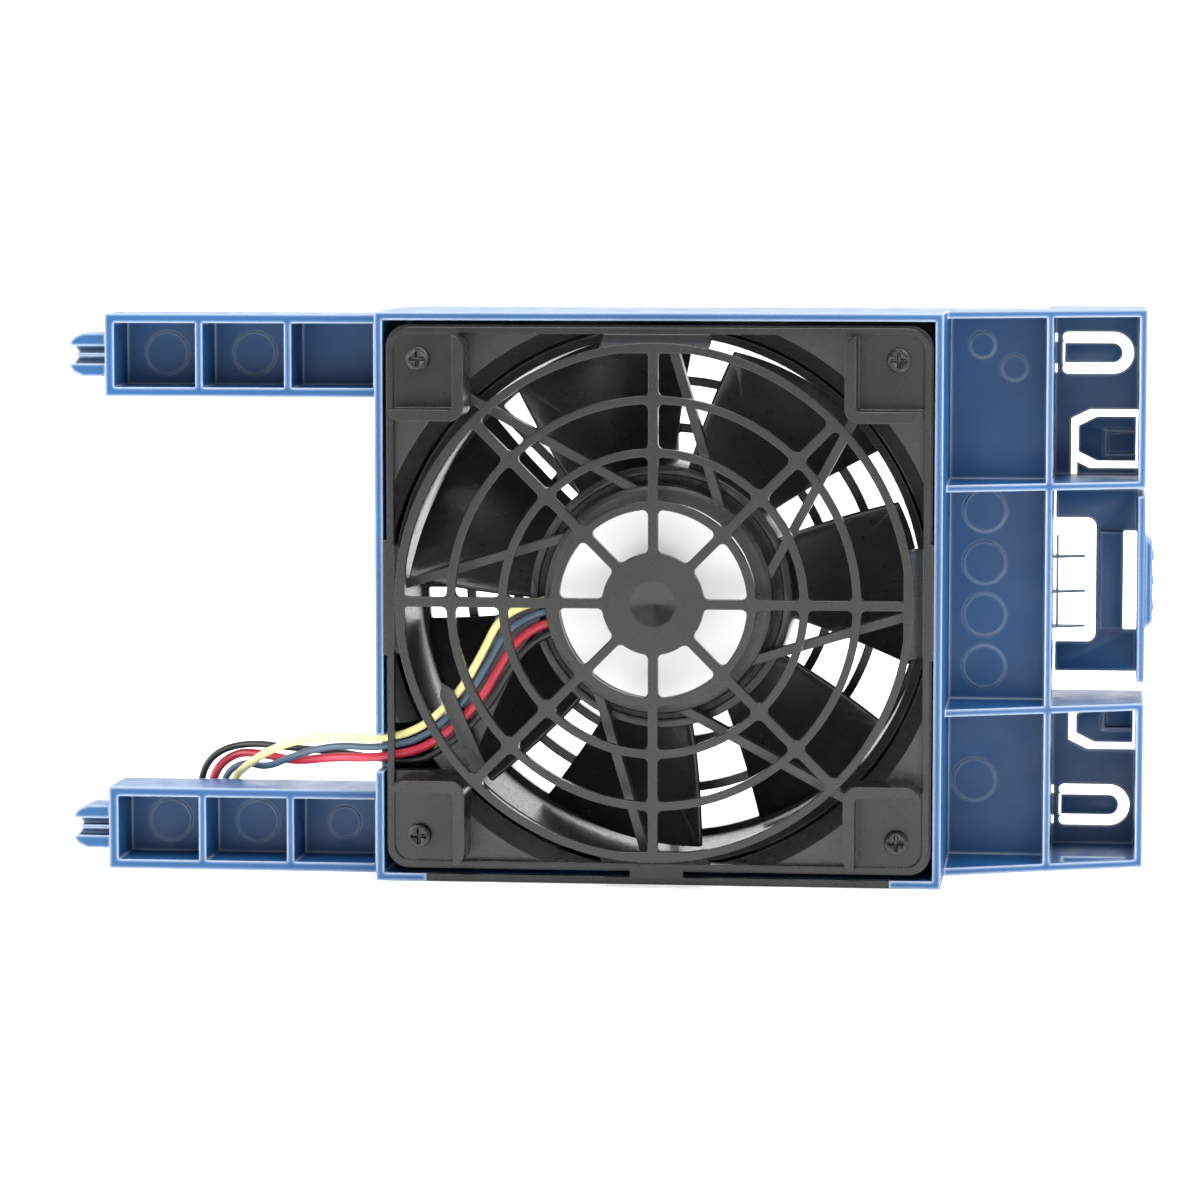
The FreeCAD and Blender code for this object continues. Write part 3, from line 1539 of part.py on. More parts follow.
# Each wire's diameter and the points of its route: X, depth, height above the axis.
WIRES = {
    "yellow_wire": (1.8, [
        (-18, 5.6, 0.4), (-25, 4.4, -0.1), (-34.8, 4.3, -3.8), (-38.9, 4.3, -12.2),
        (-43.6, 4.3, -20.6), (-52.2, 4.3, -29.3), (-61.8, 4.3, -31.9), (-72, 7.5, -31.6),
        (-81.5, 12, -33), (-90, 18, -36.6), (-95.8, 24.4, -40.8), (-98.8, 30, -43.2),
        (-100.3, 31.7, -46.8), (-100.3, 31.7, -50.4),
    ]),
    "blue_wire": (1.6, [
        (-18, 5.7, -1.9), (-24.6, 4.5, -2.5), (-33.2, 4.4, -6.6), (-37.1, 4.4, -13.6),
        (-41.9, 4.4, -22), (-51.4, 4.4, -31.3), (-61.8, 4.4, -33.8), (-73, 9.5, -33.8),
        (-83, 15.5, -36.9), (-90.6, 22.4, -40.9), (-97.8, 30.6, -40.4), (-102.8, 31.7, -44.4),
        (-102.8, 31.7, -50.4),
    ]),
    "red_wire": (2.0, [
        (-18, 5.5, -4.2), (-24.2, 4.4, -5), (-31.2, 4.3, -9.2), (-35, 4.3, -15.2),
        (-39.8, 4.3, -23.6), (-50.2, 4.3, -33.3), (-61.8, 4.3, -36), (-73, 9, -36.4),
        (-83.5, 19.4, -38.9), (-91.8, 26.8, -38.3), (-99.6, 32.2, -38.4), (-105.4, 31.7, -43.6),
        (-105.4, 31.7, -50.4),
    ]),
    "black_wire": (1.6, [
        (-18, 5.7, -6.6), (-23.8, 4.5, -7.5), (-29.4, 4.4, -11), (-33.2, 4.4, -16.6),
        (-38.6, 4.4, -25.6), (-49.6, 4.3, -35.5), (-56.8, 5.9, -36.8), (-63.5, 7.4, -36.3),
        (-74.4, 12.8, -35.6), (-85.6, 21.6, -36), (-95.6, 29.2, -35.9), (-104, 31.4, -38.2),
        (-107.9, 31.7, -44), (-107.9, 31.7, -50.4),
    ]),
}  # fmt: skip


def route_wire(points):
    """Straight runs joined by tangent arcs as large as the runs beside them allow."""
    edges, last = [], points[0]
    for before, point, after in zip(points, points[1:], points[2:]):
        back, ahead = before - point, after - point
        turn = math.pi - back.getAngle(ahead)
        reach = 0.45 * min(back.Length, ahead.Length)
        start = point + Vector(back).normalize() * reach
        end = point + Vector(ahead).normalize() * reach
        radius = reach / math.tan(turn / 2)
        inward = (Vector(back).normalize() + Vector(ahead).normalize()).normalize()
        middle = point + inward * (radius / math.cos(turn / 2) - radius)
        edges += [Part.LineSegment(last, start).toShape(), Part.Arc(start, middle, end).toShape()]
        print(f"  arc radius {radius:.1f}")
        last = end
    edges.append(Part.LineSegment(last, points[-1]).toShape())
    return Part.Wire(edges)


def build_wires():
    plug_top = number(f"-{BOX_HIGH} / 2 + plug_lift + plug_high")
    for node, (diameter, route) in WIRES.items():
        print(node)
        points = [Vector(*point) for point in route]
        points[-1].z = plug_top
        path = route_wire(points)
        start = path.Edges[0]
        section = Part.Wire(
            Part.makeCircle(diameter / 2, points[0], start.tangentAt(start.FirstParameter))
        )
        tube = path.makePipeShell([section], True, True)
        wanted = math.pi * diameter**2 / 4 * path.Length
        print(f"  length {path.Length:.1f}, volume off by {tube.Volume / wanted - 1:.2e}")
        feature = DOC.addObject("Part::Feature", node)
        feature.Shape = tube
        finish(feature, node)


def build_solder():
    """A solder joint at the board end of each wire."""
    joints = []
    for diameter, route in WIRES.values():
        x, depth, up = route[0]
        joints.append(
            block(
                "solder",
                (f"{x} + 0.3", f"{BOARD_FRONT} - {diameter}", f"{up} - {diameter} / 2"),
                ("1.8", str(diameter), str(diameter)),
            )
        )
    finish(group("solder_joints", joints), "solder_joints")


def build_plug():
    """The four-way plug behind the lower arm: a housing with a cavity for each contact."""
    left = PLUG_LEFT
    low = f"-{BOX_HIGH} / 2 + plug_lift"
    body = block("plug_body", (left, ARM_BACK, low), ("plug_wide", "plug_deep", "plug_high"))
    cavities, contacts = [], []
    for index in range(4):
        across = f"{PLUG_RIGHT} - plug_wide / 2 + ({index} - 1.5) * plug_pitch - contact_wide / 2"
        depth = f"{ARM_BACK} + plug_deep / 2 - contact_wide / 2"
        size = ("contact_wide", "contact_wide", "plug_high - 2")
        cavities.append(
            block(
                "cavity",
                (across, depth, f"{low} - 0.5"),
                ("contact_wide", "contact_wide", "plug_high - 1.5"),
            )
        )
        sleeve = block(
            "sleeve",
            (across, depth, f"{low} + 0.6"),
            ("contact_wide", "contact_wide", "plug_high - 2.6"),
        )
        mouth = block(
            "sleeve_mouth",
            (f"{across} + 0.3", f"{depth} + 0.3", low),
            ("contact_wide - 0.6", "contact_wide - 0.6", "plug_high / 2"),
        )
        contacts.append(cut("contact", sleeve, [mouth]))
    key = block(
        "plug_key",
        (f"{left} + 2", f"{ARM_BACK} + plug_deep", f"{low} + 2"),
        ("plug_wide - 4", "0.8", "plug_high / 2"),
    )
    finish(cut("plug_housing", join("plug_solid", [body, key]), cavities), "plug_housing")
    finish(group("plug_contacts", contacts), "plug_contacts")


# ---------------------------------------------------------------- check and write


def check_objects():
    """Stop if any object failed, or any sub-part's shape isn't a sound closed solid."""
    for thing in DOC.Objects:
        if "Invalid" in thing.State or "Error" in thing.State:
            raise RuntimeError(f"{thing.Name} ({thing.Label}) failed: {thing.State}")
    for node, thing in PARTS.items():
        shape = thing.Shape
        if shape.isNull() or not shape.isValid() or not shape.Solids or shape.Volume <= 0:
            raise RuntimeError(f"{node} has no sound shape")


def main():
    build_carrier()
    build_fingers()
    build_catches()
    build_latch()
    build_front_guard()
    build_rear_guard()
    build_screws()
    build_housing()
    build_impeller()
    build_rotor()
    build_bearings()
    build_stator()
    build_board()
    build_wires()
    build_solder()
    build_plug()
    DOC.recompute()
    check_objects()
    os.makedirs("parts", exist_ok=True)
    for node, thing in PARTS.items():
        thing.Shape.exportStep(f"parts/{node}.step")
        print(f"{node}: {len(thing.Shape.Solids)} solids, {thing.Shape.Volume:.0f} mm3")


main()
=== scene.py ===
"""Server fan module: finishes, softened mouldings, the lead and a plain studio.

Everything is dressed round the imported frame, in metres: X to the latch end, -Y out of the front
guard and Z up from the floor that the module stands on.
"""

import json
import math

import bmesh
import bpy
from bpy.props import FloatProperty, IntProperty, PointerProperty, StringProperty
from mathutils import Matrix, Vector


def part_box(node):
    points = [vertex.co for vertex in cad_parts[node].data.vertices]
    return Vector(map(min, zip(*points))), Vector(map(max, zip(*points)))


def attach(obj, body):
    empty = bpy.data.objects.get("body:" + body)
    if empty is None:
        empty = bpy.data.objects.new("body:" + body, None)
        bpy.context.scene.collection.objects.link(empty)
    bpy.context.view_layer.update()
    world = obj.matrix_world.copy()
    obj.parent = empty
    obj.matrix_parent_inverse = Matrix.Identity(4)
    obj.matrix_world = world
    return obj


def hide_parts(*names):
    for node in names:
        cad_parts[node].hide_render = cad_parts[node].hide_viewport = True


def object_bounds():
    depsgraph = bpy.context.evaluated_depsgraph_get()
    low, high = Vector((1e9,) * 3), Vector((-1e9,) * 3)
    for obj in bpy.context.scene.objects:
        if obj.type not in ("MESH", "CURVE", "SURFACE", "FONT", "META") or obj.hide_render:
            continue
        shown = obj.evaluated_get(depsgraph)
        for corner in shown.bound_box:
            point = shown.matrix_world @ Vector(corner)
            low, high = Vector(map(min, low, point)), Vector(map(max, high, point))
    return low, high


bl_info = {
    "name": "Server fan module",
    "version": (1, 0, 0),
    "blender": (4, 5, 0),
    "location": "View3D > Sidebar > Fan module",
    "description": "Dresses a carrier-mounted server fan with its mouldings, motor and lead",
    "category": "Object",
}

MM = 0.001
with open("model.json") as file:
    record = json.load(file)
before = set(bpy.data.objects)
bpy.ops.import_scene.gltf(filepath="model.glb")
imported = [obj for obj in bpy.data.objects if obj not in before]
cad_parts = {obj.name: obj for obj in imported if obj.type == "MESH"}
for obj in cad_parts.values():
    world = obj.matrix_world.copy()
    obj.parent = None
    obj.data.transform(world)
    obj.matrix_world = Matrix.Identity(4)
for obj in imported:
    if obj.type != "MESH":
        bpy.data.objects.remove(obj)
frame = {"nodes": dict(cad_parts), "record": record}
NODES = frame["nodes"]
CAD_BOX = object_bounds()
BODY_OF = {n: body for body, nodes in frame["record"]["behaviour"]["bodies"].items() for n in nodes}
SLOT_OF = {part["node"]: part["material_slot"] for part in frame["record"]["subparts"]}
AXIS_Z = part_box("rotor_shaft")[0].z / 2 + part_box("rotor_shaft")[1].z / 2

SAME_POINT = 0.002 * MM  # vertices this near are one
SAME_PLANE = math.radians(0.8)  # faces that turn less than this are one
SHARP_FOLD = math.radians(32)  # faces that turn more than this meet at an edge


# ---------------------------------------------------------------- settings


class FinishSettings(bpy.types.PropertyGroup):
    """Colours of the mouldings, label and lead."""

    carrier: StringProperty(
        name="Carrier", description="Moulded ABS of the carrier, as sRGB hex", default="#1C4E7E"
    )
    guard: StringProperty(
        name="Guards", description="Moulded nylon of the guards, as sRGB hex", default="#1D1D1C"
    )
    fan: StringProperty(
        name="Fan", description="Glass-filled PBT of the frame and blades, as sRGB hex", default="#202021"
    )
    label: StringProperty(
        name="Label", description="Blank film label on the motor, as sRGB hex", default="#F3F4F2"
    )
    plug: StringProperty(
        name="Plug", description="Natural nylon of the plug, as sRGB hex", default="#E4E1D4"
    )


class EdgeSettings(bpy.types.PropertyGroup):
    """How far the mouldings' edges are rounded."""

    latch: FloatProperty(
        name="Latch edge", description="Edge radius of the latch", default=0.3 * MM, unit="LENGTH"
    )
    screw: FloatProperty(
        name="Screw edge", description="Edge radius of the screw heads", default=0.15 * MM, unit="LENGTH"
    )
    blade: FloatProperty(
        name="Blade edge", description="Edge radius of the blades", default=0.25 * MM, unit="LENGTH"
    )
    steps: IntProperty(name="Edge steps", description="Faces across each rounded edge", default=2, min=1)


class CameraSettings(bpy.types.PropertyGroup):
    """Where the camera stands, from the middle of the fan box's front rim."""

    right: FloatProperty(
        name="Right", description="Camera right of the fan's axis", default=0.0977, unit="LENGTH"
    )
    above: FloatProperty(
        name="Above", description="Camera above the fan's axis", default=0.0904, unit="LENGTH"
    )
    away: FloatProperty(
        name="Away", description="Camera in front of the box's rim", default=1.0, unit="LENGTH"
    )
    fill: FloatProperty(
        name="Fill", description="The module's share of the picture's width", default=0.92, subtype="FACTOR"
    )


# ---------------------------------------------------------------- materials

# Under the plastics' usual 0.5, so that the white floor's shine doesn't veil the dark mouldings.
ABS_SHINE, NYLON_SHINE = 0.34, 0.38


def linear(code):
    """An sRGB hex colour as linear RGBA."""
    channels = [int(code[i : i + 2], 16) / 255 for i in (1, 3, 5)]
    return [c / 12.92 if c <= 0.04045 else ((c + 0.055) / 1.055) ** 2.4 for c in channels] + [1.0]


def add_node(tree, kind, settings=(), **links):
    """One shader node, with its settings and the sockets that feed it."""
    node = tree.nodes.new(kind)
    for name, value in dict(settings).items():
        if name in node.inputs:
            node.inputs[name].default_value = value
        else:
            setattr(node, name, value)
    for name, socket in links.items():
        tree.links.new(socket, node.inputs[name.replace("_", " ")])
    return node


def start_material(name, **settings):
    """A new material with its shader and the object's own coordinates, in metres."""
    material = bpy.data.materials.get(name) or bpy.data.materials.new(name)
    material.use_nodes = True
    tree = material.node_tree
    tree.nodes.clear()
    shader = add_node(tree, "ShaderNodeBsdfPrincipled", {k.replace("_", " "): v for k, v in settings.items()})
    add_node(tree, "ShaderNodeOutputMaterial", Surface=shader.outputs[0])
    place = add_node(tree, "ShaderNodeTexCoord").outputs["Object"]
    return material, tree, shader, place


def size(millimetres):
    """The noise scale that gives features of that size."""
    return 1 / (millimetres * MM)


def mottle(tree, place, millimetres, low, high):
    """A noise of that size, mapped to a range."""
    noise = add_node(tree, "ShaderNodeTexNoise", {"Scale": size(millimetres), "Detail": 4.0}, Vector=place)
    spread = {"From Min": 0.3, "From Max": 0.7, "To Min": low, "To Max": high}
    return add_node(tree, "ShaderNodeMapRange", spread, Value=noise.outputs["Fac"]).outputs["Result"]


def tinted(tree, shader, factor, dark, light):
    """Lets the colour drift between two shades of the plastic."""
    ramp = add_node(tree, "ShaderNodeMix", {"data_type": "RGBA"})
    tree.links.new(factor, ramp.inputs["Factor"])
    ramp.inputs[6].default_value = dark
    ramp.inputs[7].default_value = light
    tree.links.new(ramp.outputs[2], shader.inputs["Base Color"])


def painted_rim_highlight(tree, shader, millimetres, colour, share):
    """Paints a highlight on the rims: pales the plastic towards a colour that far in from an edge, where a
    bevelled normal turns away from the face's own.
    """
    bevel_normal = add_node(tree, "ShaderNodeBevel", {"samples": 6, "Radius": millimetres * MM})
    flat = add_node(tree, "ShaderNodeNewGeometry").outputs["Normal"]
    turn = add_node(tree, "ShaderNodeVectorMath", {"operation": "DOT_PRODUCT"})
    tree.links.new(bevel_normal.outputs["Normal"], turn.inputs[0])
    tree.links.new(flat, turn.inputs[1])
    spread = {"From Min": 0.999, "From Max": 0.85, "To Min": 0.0, "To Max": share}
    factor = add_node(tree, "ShaderNodeMapRange", spread, Value=turn.outputs["Value"]).outputs["Result"]
    # painted highlight: mixes the pale colour into the base colour near every edge
    mix = add_node(tree, "ShaderNodeMix", {"data_type": "RGBA"})
    tree.links.new(factor, mix.inputs["Factor"])
    tree.links.new(shader.inputs["Base Color"].links[0].from_socket, mix.inputs[6])
    mix.inputs[7].default_value = colour
    tree.links.new(mix.outputs[2], shader.inputs["Base Color"])


def grained(tree, shader, place, millimetres, strength, deep, rim=0.0):
    """A fine relief of that size and depth in millimetres, with its edges worn round to the rim radius."""
    noise = add_node(tree, "ShaderNodeTexNoise", {"Scale": size(millimetres), "Detail": 3.0}, Vector=place)
    bump = add_node(
        tree, "ShaderNodeBump", {"Strength": strength, "Distance": deep * MM}, Height=noise.outputs["Fac"]
    )
    if rim:
        bevel_normal = add_node(tree, "ShaderNodeBevel", {"samples": 6, "Radius": rim * MM})
        tree.links.new(bevel_normal.outputs["Normal"], bump.inputs["Normal"])
    tree.links.new(bump.outputs["Normal"], shader.inputs["Normal"])


def shaded(colour, share):
    """A colour made darker or lighter by a share."""
    return [min(1.0, c * share) for c in colour[:3]] + [1.0]


def moulded_abs(name, code):
    """ABS from a spark-eroded mould: a soft sheen over faint cloudy flow marks, and rims paled by a painted
    highlight.
    """
    values = {"IOR": 1.54, "Roughness": 0.4, "Specular_IOR_Level": ABS_SHINE}
    material, tree, shader, place = start_material(name, **values)
    colour = linear(code)
    tinted(tree, shader, mottle(tree, place, 28, 0, 1), shaded(colour, 0.93), shaded(colour, 1.07))
    painted_rim_highlight(tree, shader, 1.2, linear("#B4C1D0"), 0.8)  # painted highlight: pales 1.2 mm of each rim towards grey-blue
    tree.links.new(mottle(tree, place, 6, 0.33, 0.46), shader.inputs["Roughness"])
    grained(tree, shader, place, 0.5, 0.25, 0.05, 0.45)  # eroded pits of 0.1 mm, drawn at 0.5 mm
    return material


def moulded_nylon(name, code):
    """Black nylon, polished on the bars' crowns: broad soft highlights with a slight waviness."""
    values = {"IOR": 1.53, "Roughness": 0.26, "Specular_IOR_Level": NYLON_SHINE}
    material, tree, shader, place = start_material(name, **values)
    colour = linear(code)
    tinted(tree, shader, mottle(tree, place, 12, 0, 1), shaded(colour, 0.85), shaded(colour, 1.15))
    tree.links.new(mottle(tree, place, 8, 0.22, 0.32), shader.inputs["Roughness"])
    grained(tree, shader, place, 1.6, 0.1, 0.05, 0.45)  # sink and flow of the mould, 1.6 mm
    return material


def glass_filled_pbt(name, code):
    """Glass-filled PBT: fibres just under the skin break the sheen into short flecks."""
    material, tree, shader, place = start_material(name, IOR=1.57, Roughness=0.45)
    colour = linear(code)
    stretched = add_node(tree, "ShaderNodeMapping", {"Scale": (1, 1, 3)}, Vector=place).outputs["Vector"]
    tinted(tree, shader, mottle(tree, stretched, 4, 0, 1), shaded(colour, 0.8), shaded(colour, 1.25))
    tree.links.new(mottle(tree, stretched, 1.5, 0.26, 0.42), shader.inputs["Roughness"])
    grained(tree, shader, stretched, 0.6, 0.3, 0.04, 0.3)  # fibres of 0.2 mm, drawn at 0.6 mm
    return material


def film_label(name, code):
    """Matte polyester film: almost even, with a fibreless fine tooth."""
    material, tree, shader, place = start_material(name, IOR=1.5, Roughness=0.5)
    colour = linear(code)
    tinted(tree, shader, mottle(tree, place, 9, 0, 1), shaded(colour, 0.96), colour)
    tree.links.new(mottle(tree, place, 2, 0.45, 0.56), shader.inputs["Roughness"])
    grained(tree, shader, place, 0.6, 0.1, 0.02)
    return material


def turned_metal(name, code, roughness):
    """Turned or stamped metal: fine rings that stretch the highlights."""
    material, tree, shader, place = start_material(name, Metallic=1.0, Roughness=roughness)
    colour = linear(code)
    squeezed = add_node(tree, "ShaderNodeMapping", {"Scale": (1, 12, 1)}, Vector=place).outputs["Vector"]
    tinted(tree, shader, mottle(tree, squeezed, 5, 0, 1), shaded(colour, 0.85), colour)
    tree.links.new(
        mottle(tree, squeezed, 2, roughness * 0.8, roughness * 1.3), shader.inputs["Roughness"]
    )
    return material


def blackened_steel(name, code):
    """Oxide-black screw steel: dark metal with worn, brighter high spots."""
    material, tree, shader, place = start_material(name, Metallic=0.85, Roughness=0.4)
    colour = linear(code)
    tinted(tree, shader, mottle(tree, place, 0.8, 0, 1), shaded(colour, 0.7), shaded(colour, 1.6))
    tree.links.new(mottle(tree, place, 0.5, 0.3, 0.5), shader.inputs["Roughness"])
    return material


def wound_copper(name, code):
    """Enamelled copper wire: turns of 0.35 mm under a clear lacquer, with painted shade in the grooves
    between turns.
    """
    material, tree, shader, place = start_material(name, Metallic=0.9, Roughness=0.3)
    turns = add_node(
        tree, "ShaderNodeTexWave", {"Scale": size(0.7) / 20, "Distortion": 1.0, "Detail": 1.0}, Vector=place
    )
    colour = linear(code)
    # painted shade: the colour falls to half where the turns' bump dips
    tinted(tree, shader, turns.outputs["Fac"], shaded(colour, 0.5), colour)
    bump = add_node(
        tree, "ShaderNodeBump", {"Strength": 0.6, "Distance": 0.1 * MM}, Height=turns.outputs["Fac"]
    )
    tree.links.new(bump.outputs["Normal"], shader.inputs["Normal"])
    return material


def extruded_pvc(name, code):
    """Extruded PVC insulation: even and slightly glossy, with a faint drawn waviness."""
    material, tree, shader, place = start_material(name, IOR=1.53, Roughness=0.35)
    colour = linear(code)
    tinted(tree, shader, mottle(tree, place, 7, 0, 1), shaded(colour, 0.9), shaded(colour, 1.08))
    tree.links.new(mottle(tree, place, 2.5, 0.28, 0.42), shader.inputs["Roughness"])
    grained(tree, shader, place, 1.2, 0.15, 0.05)
    return material


def matte_filler(name, code, roughness=0.6):
    """Board resist, epoxy, ferrite and nylon inside the motor: matte with small speckles."""
    material, tree, shader, place = start_material(name, IOR=1.5, Roughness=roughness)
    colour = linear(code)
    tinted(tree, shader, mottle(tree, place, 1.5, 0, 1), shaded(colour, 0.8), shaded(colour, 1.15))
    grained(tree, shader, place, 0.5, 0.2, 0.03)
    return material


def make_materials(finish):
    """One material for each of the record's slots."""
    return {
        "carrier_plastic": moulded_abs("moulded blue ABS", finish.carrier),
        "guard_plastic": moulded_nylon("moulded black nylon", finish.guard),
        "fan_plastic": glass_filled_pbt("moulded black PBT", finish.fan),
        "impeller_plastic": glass_filled_pbt("blade PBT", finish.fan),
        "label_white": film_label("blank film label", finish.label),
        "steel": turned_metal("ground steel", "#C9C9C8", 0.25),
        "black_steel": blackened_steel("blackened steel", "#3A3A3B"),
        "zinc_steel": blackened_steel("black zinc-plated steel", "#2E2E30"),
        "ferrite": matte_filler("bonded ferrite", "#3B3B3D"),
        "brass": turned_metal("turned brass", "#C9A55C", 0.28),
        "lamination": turned_metal("electrical steel", "#7E8084", 0.45),
        "copper": wound_copper("enamelled copper", "#B8652F"),
        "insulator": matte_filler("natural nylon bobbin", "#CFC8A9"),
        "board": matte_filler("green solder resist", "#1F5A33", 0.4),
        "chip": matte_filler("moulded epoxy", "#1C1C1C", 0.5),
        "solder": turned_metal("solder", "#C4C6C8", 0.3),
        "wire_yellow": extruded_pvc("yellow PVC", "#EFE79A"),
        "wire_blue": extruded_pvc("slate PVC", "#3F566B"),
        "wire_red": extruded_pvc("red PVC", "#B3263C"),
        "wire_black": extruded_pvc("black PVC", "#1D1D1E"),
        "plug_plastic": matte_filler("natural nylon", finish.plug, 0.45),
        "contact": turned_metal("tinned contact", "#C7C3B4", 0.3),
    }


# ---------------------------------------------------------------- shapes


def bare_mesh(node, name):
    """A copy of the node's own mesh, with no material."""
    mesh = NODES[node].data.copy()
    mesh.name = name
    mesh.materials.clear()
    return mesh


def stand_in(piece, node):
    """Puts a piece in its node's place, on the same body, and hides the node."""
    bpy.context.scene.collection.objects.link(piece)
    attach(piece, BODY_OF[node])
    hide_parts(node)


def softened(node, name, radius, steps):
    """The node's own shape with its moulded edges rounded, shown in its place."""
    mesh = bare_mesh(node, name)
    cage = bmesh.new()
    cage.from_mesh(mesh)
    bmesh.ops.remove_doubles(cage, verts=cage.verts, dist=SAME_POINT)
    bmesh.ops.dissolve_limit(cage, angle_limit=SAME_PLANE, verts=cage.verts, edges=cage.edges)
    for face in cage.faces:
        face.smooth = True
    cage.to_mesh(mesh)
    cage.free()
    piece = bpy.data.objects.new(name, mesh)
    edge = piece.modifiers.new("moulded edge", "BEVEL")
    edge.width = radius
    edge.segments = steps
    edge.limit_method = "ANGLE"
    edge.angle_limit = SHARP_FOLD
    edge.use_clamp_overlap = False
    edge.miter_outer = "MITER_ARC"
    edge.harden_normals = True
    stand_in(piece, node)
    return piece


def plain(node, name):
    """The node's own shape, smooth except at its sharp folds, shown in its place."""
    mesh = bare_mesh(node, name)
    mesh.shade_smooth()
    mesh.set_sharp_from_angle(angle=SHARP_FOLD)
    piece = bpy.data.objects.new(name, mesh)
    stand_in(piece, node)
    return piece


def finished(piece, material):
    """Gives a piece its one material."""
    piece.data.materials.clear()
    piece.data.materials.append(material)


def finish_nodes(names):
    """Gives CAD nodes that stay as they are their materials."""
    for name in names:
        for slot in NODES[name].material_slots:
            slot.link = "OBJECT"
            slot.material = MATERIALS[SLOT_OF[name]]


# Each wire's diameter and route in millimetres: X, depth behind the box's rim, height above the axis.
WIRES = {
    "yellow_wire": (1.8, [
        (-18, 5.6, 0.4), (-25, 4.4, -0.1), (-34.8, 4.3, -3.8), (-38.9, 4.3, -12.2),
        (-43.6, 4.3, -20.6), (-52.2, 4.3, -29.3), (-61.8, 4.3, -31.9), (-72, 7.5, -31.6),
        (-81.5, 12, -33), (-90, 18, -36.6), (-95.8, 24.4, -40.8), (-98.8, 30, -43.2),
        (-100.3, 31.7, -46.8), (-100.3, 31.7, -50.4),
    ]),
    "blue_wire": (1.6, [
        (-18, 5.7, -1.9), (-24.6, 4.5, -2.5), (-33.2, 4.4, -6.6), (-37.1, 4.4, -13.6),
        (-41.9, 4.4, -22), (-51.4, 4.4, -31.3), (-61.8, 4.4, -33.8), (-73, 9.5, -33.8),
        (-83, 15.5, -36.9), (-90.6, 22.4, -40.9), (-97.8, 30.6, -40.4), (-102.8, 31.7, -44.4),
        (-102.8, 31.7, -50.4),
    ]),
    "red_wire": (2.0, [
        (-18, 5.5, -4.2), (-24.2, 4.4, -5), (-31.2, 4.3, -9.2), (-35, 4.3, -15.2),
        (-39.8, 4.3, -23.6), (-50.2, 4.3, -33.3), (-61.8, 4.3, -36), (-73, 9, -36.4),
        (-83.5, 19.4, -38.9), (-91.8, 26.8, -38.3), (-99.6, 32.2, -38.4), (-105.4, 31.7, -43.6),
        (-105.4, 31.7, -50.4),
    ]),
    "black_wire": (1.6, [
        (-18, 5.7, -6.6), (-23.8, 4.5, -7.5), (-29.4, 4.4, -11), (-33.2, 4.4, -16.6),
        (-38.6, 4.4, -25.6), (-49.6, 4.3, -35.5), (-56.8, 5.9, -36.8), (-63.5, 7.4, -36.3),
        (-74.4, 12.8, -35.6), (-85.6, 21.6, -36), (-95.6, 29.2, -35.9), (-104, 31.4, -38.2),
        (-107.9, 31.7, -44), (-107.9, 31.7, -50.4),
    ]),
}  # fmt: skip


def lead_wire(name, diameter, route):
    """One wire as a smooth spline through its route."""
    rim, plug_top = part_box("carrier")[0].y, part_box("plug_housing")[1].z
    curve = bpy.data.curves.new(name, "CURVE")
    curve.dimensions = "3D"
    curve.bevel_depth = diameter / 2 * MM
    curve.bevel_resolution = 5
    curve.resolution_u = 10
    curve.use_fill_caps = True
    spline = curve.splines.new("NURBS")
    spline.points.add(len(route) - 1)
    for point, (x, depth, up) in zip(spline.points, route):
        point.co = (x * MM, rim + depth * MM, AXIS_Z + up * MM, 1)
    spline.points[-1].co.z = plug_top
    spline.order_u = 3
    spline.use_endpoint_u = True
    return bpy.data.objects.new(name, curve)


# ---------------------------------------------------------------- operators


class FANMODULE_OT_stage(bpy.types.Operator):
    """Pale floor and backdrop, soft studio lights and the camera"""

    bl_idname = "fanmodule.stage"
    bl_label = "Stage"

    def execute(self, context):
        backdrop(context)
        studio_lights(context)
        stand_camera(context)
        return {"FINISHED"}


def backdrop(context):
    """A floor that curves up into a wall behind the module."""
    front, back, bend, top, half, steps = -2.2, 0.9, 0.6, 3.0, 3.0, 10
    turns = [math.pi / 2 * step / steps for step in range(1, steps + 1)]
    profile = [(front, 0.0), (back, 0.0)]
    profile += [(back + bend * math.sin(turn), bend - bend * math.cos(turn)) for turn in turns]
    profile.append((back + bend, top))
    mesh = bpy.data.meshes.new("floor")
    sheet = bmesh.new()
    rows = [[sheet.verts.new((x, y, z)) for x in (-half, half)] for y, z in profile]
    for near, far in zip(rows, rows[1:]):
        sheet.faces.new((near[0], near[1], far[1], far[0])).smooth = True
    sheet.to_mesh(mesh)
    sheet.free()
    floor = bpy.data.objects.new("floor", mesh)
    context.scene.collection.objects.link(floor)
    material, tree, shader, place = start_material("lit backdrop acrylic", IOR=1.45, Roughness=0.9)
    shader.inputs["Emission Strength"].default_value = 0.55
    shader.inputs["Emission Color"].default_value = linear("#FFFFFF")
    pale = linear("#FAFAFA")
    tinted(tree, shader, mottle(tree, place, 400, 0, 1), shaded(pale, 0.985), pale)
    finished(floor, material)


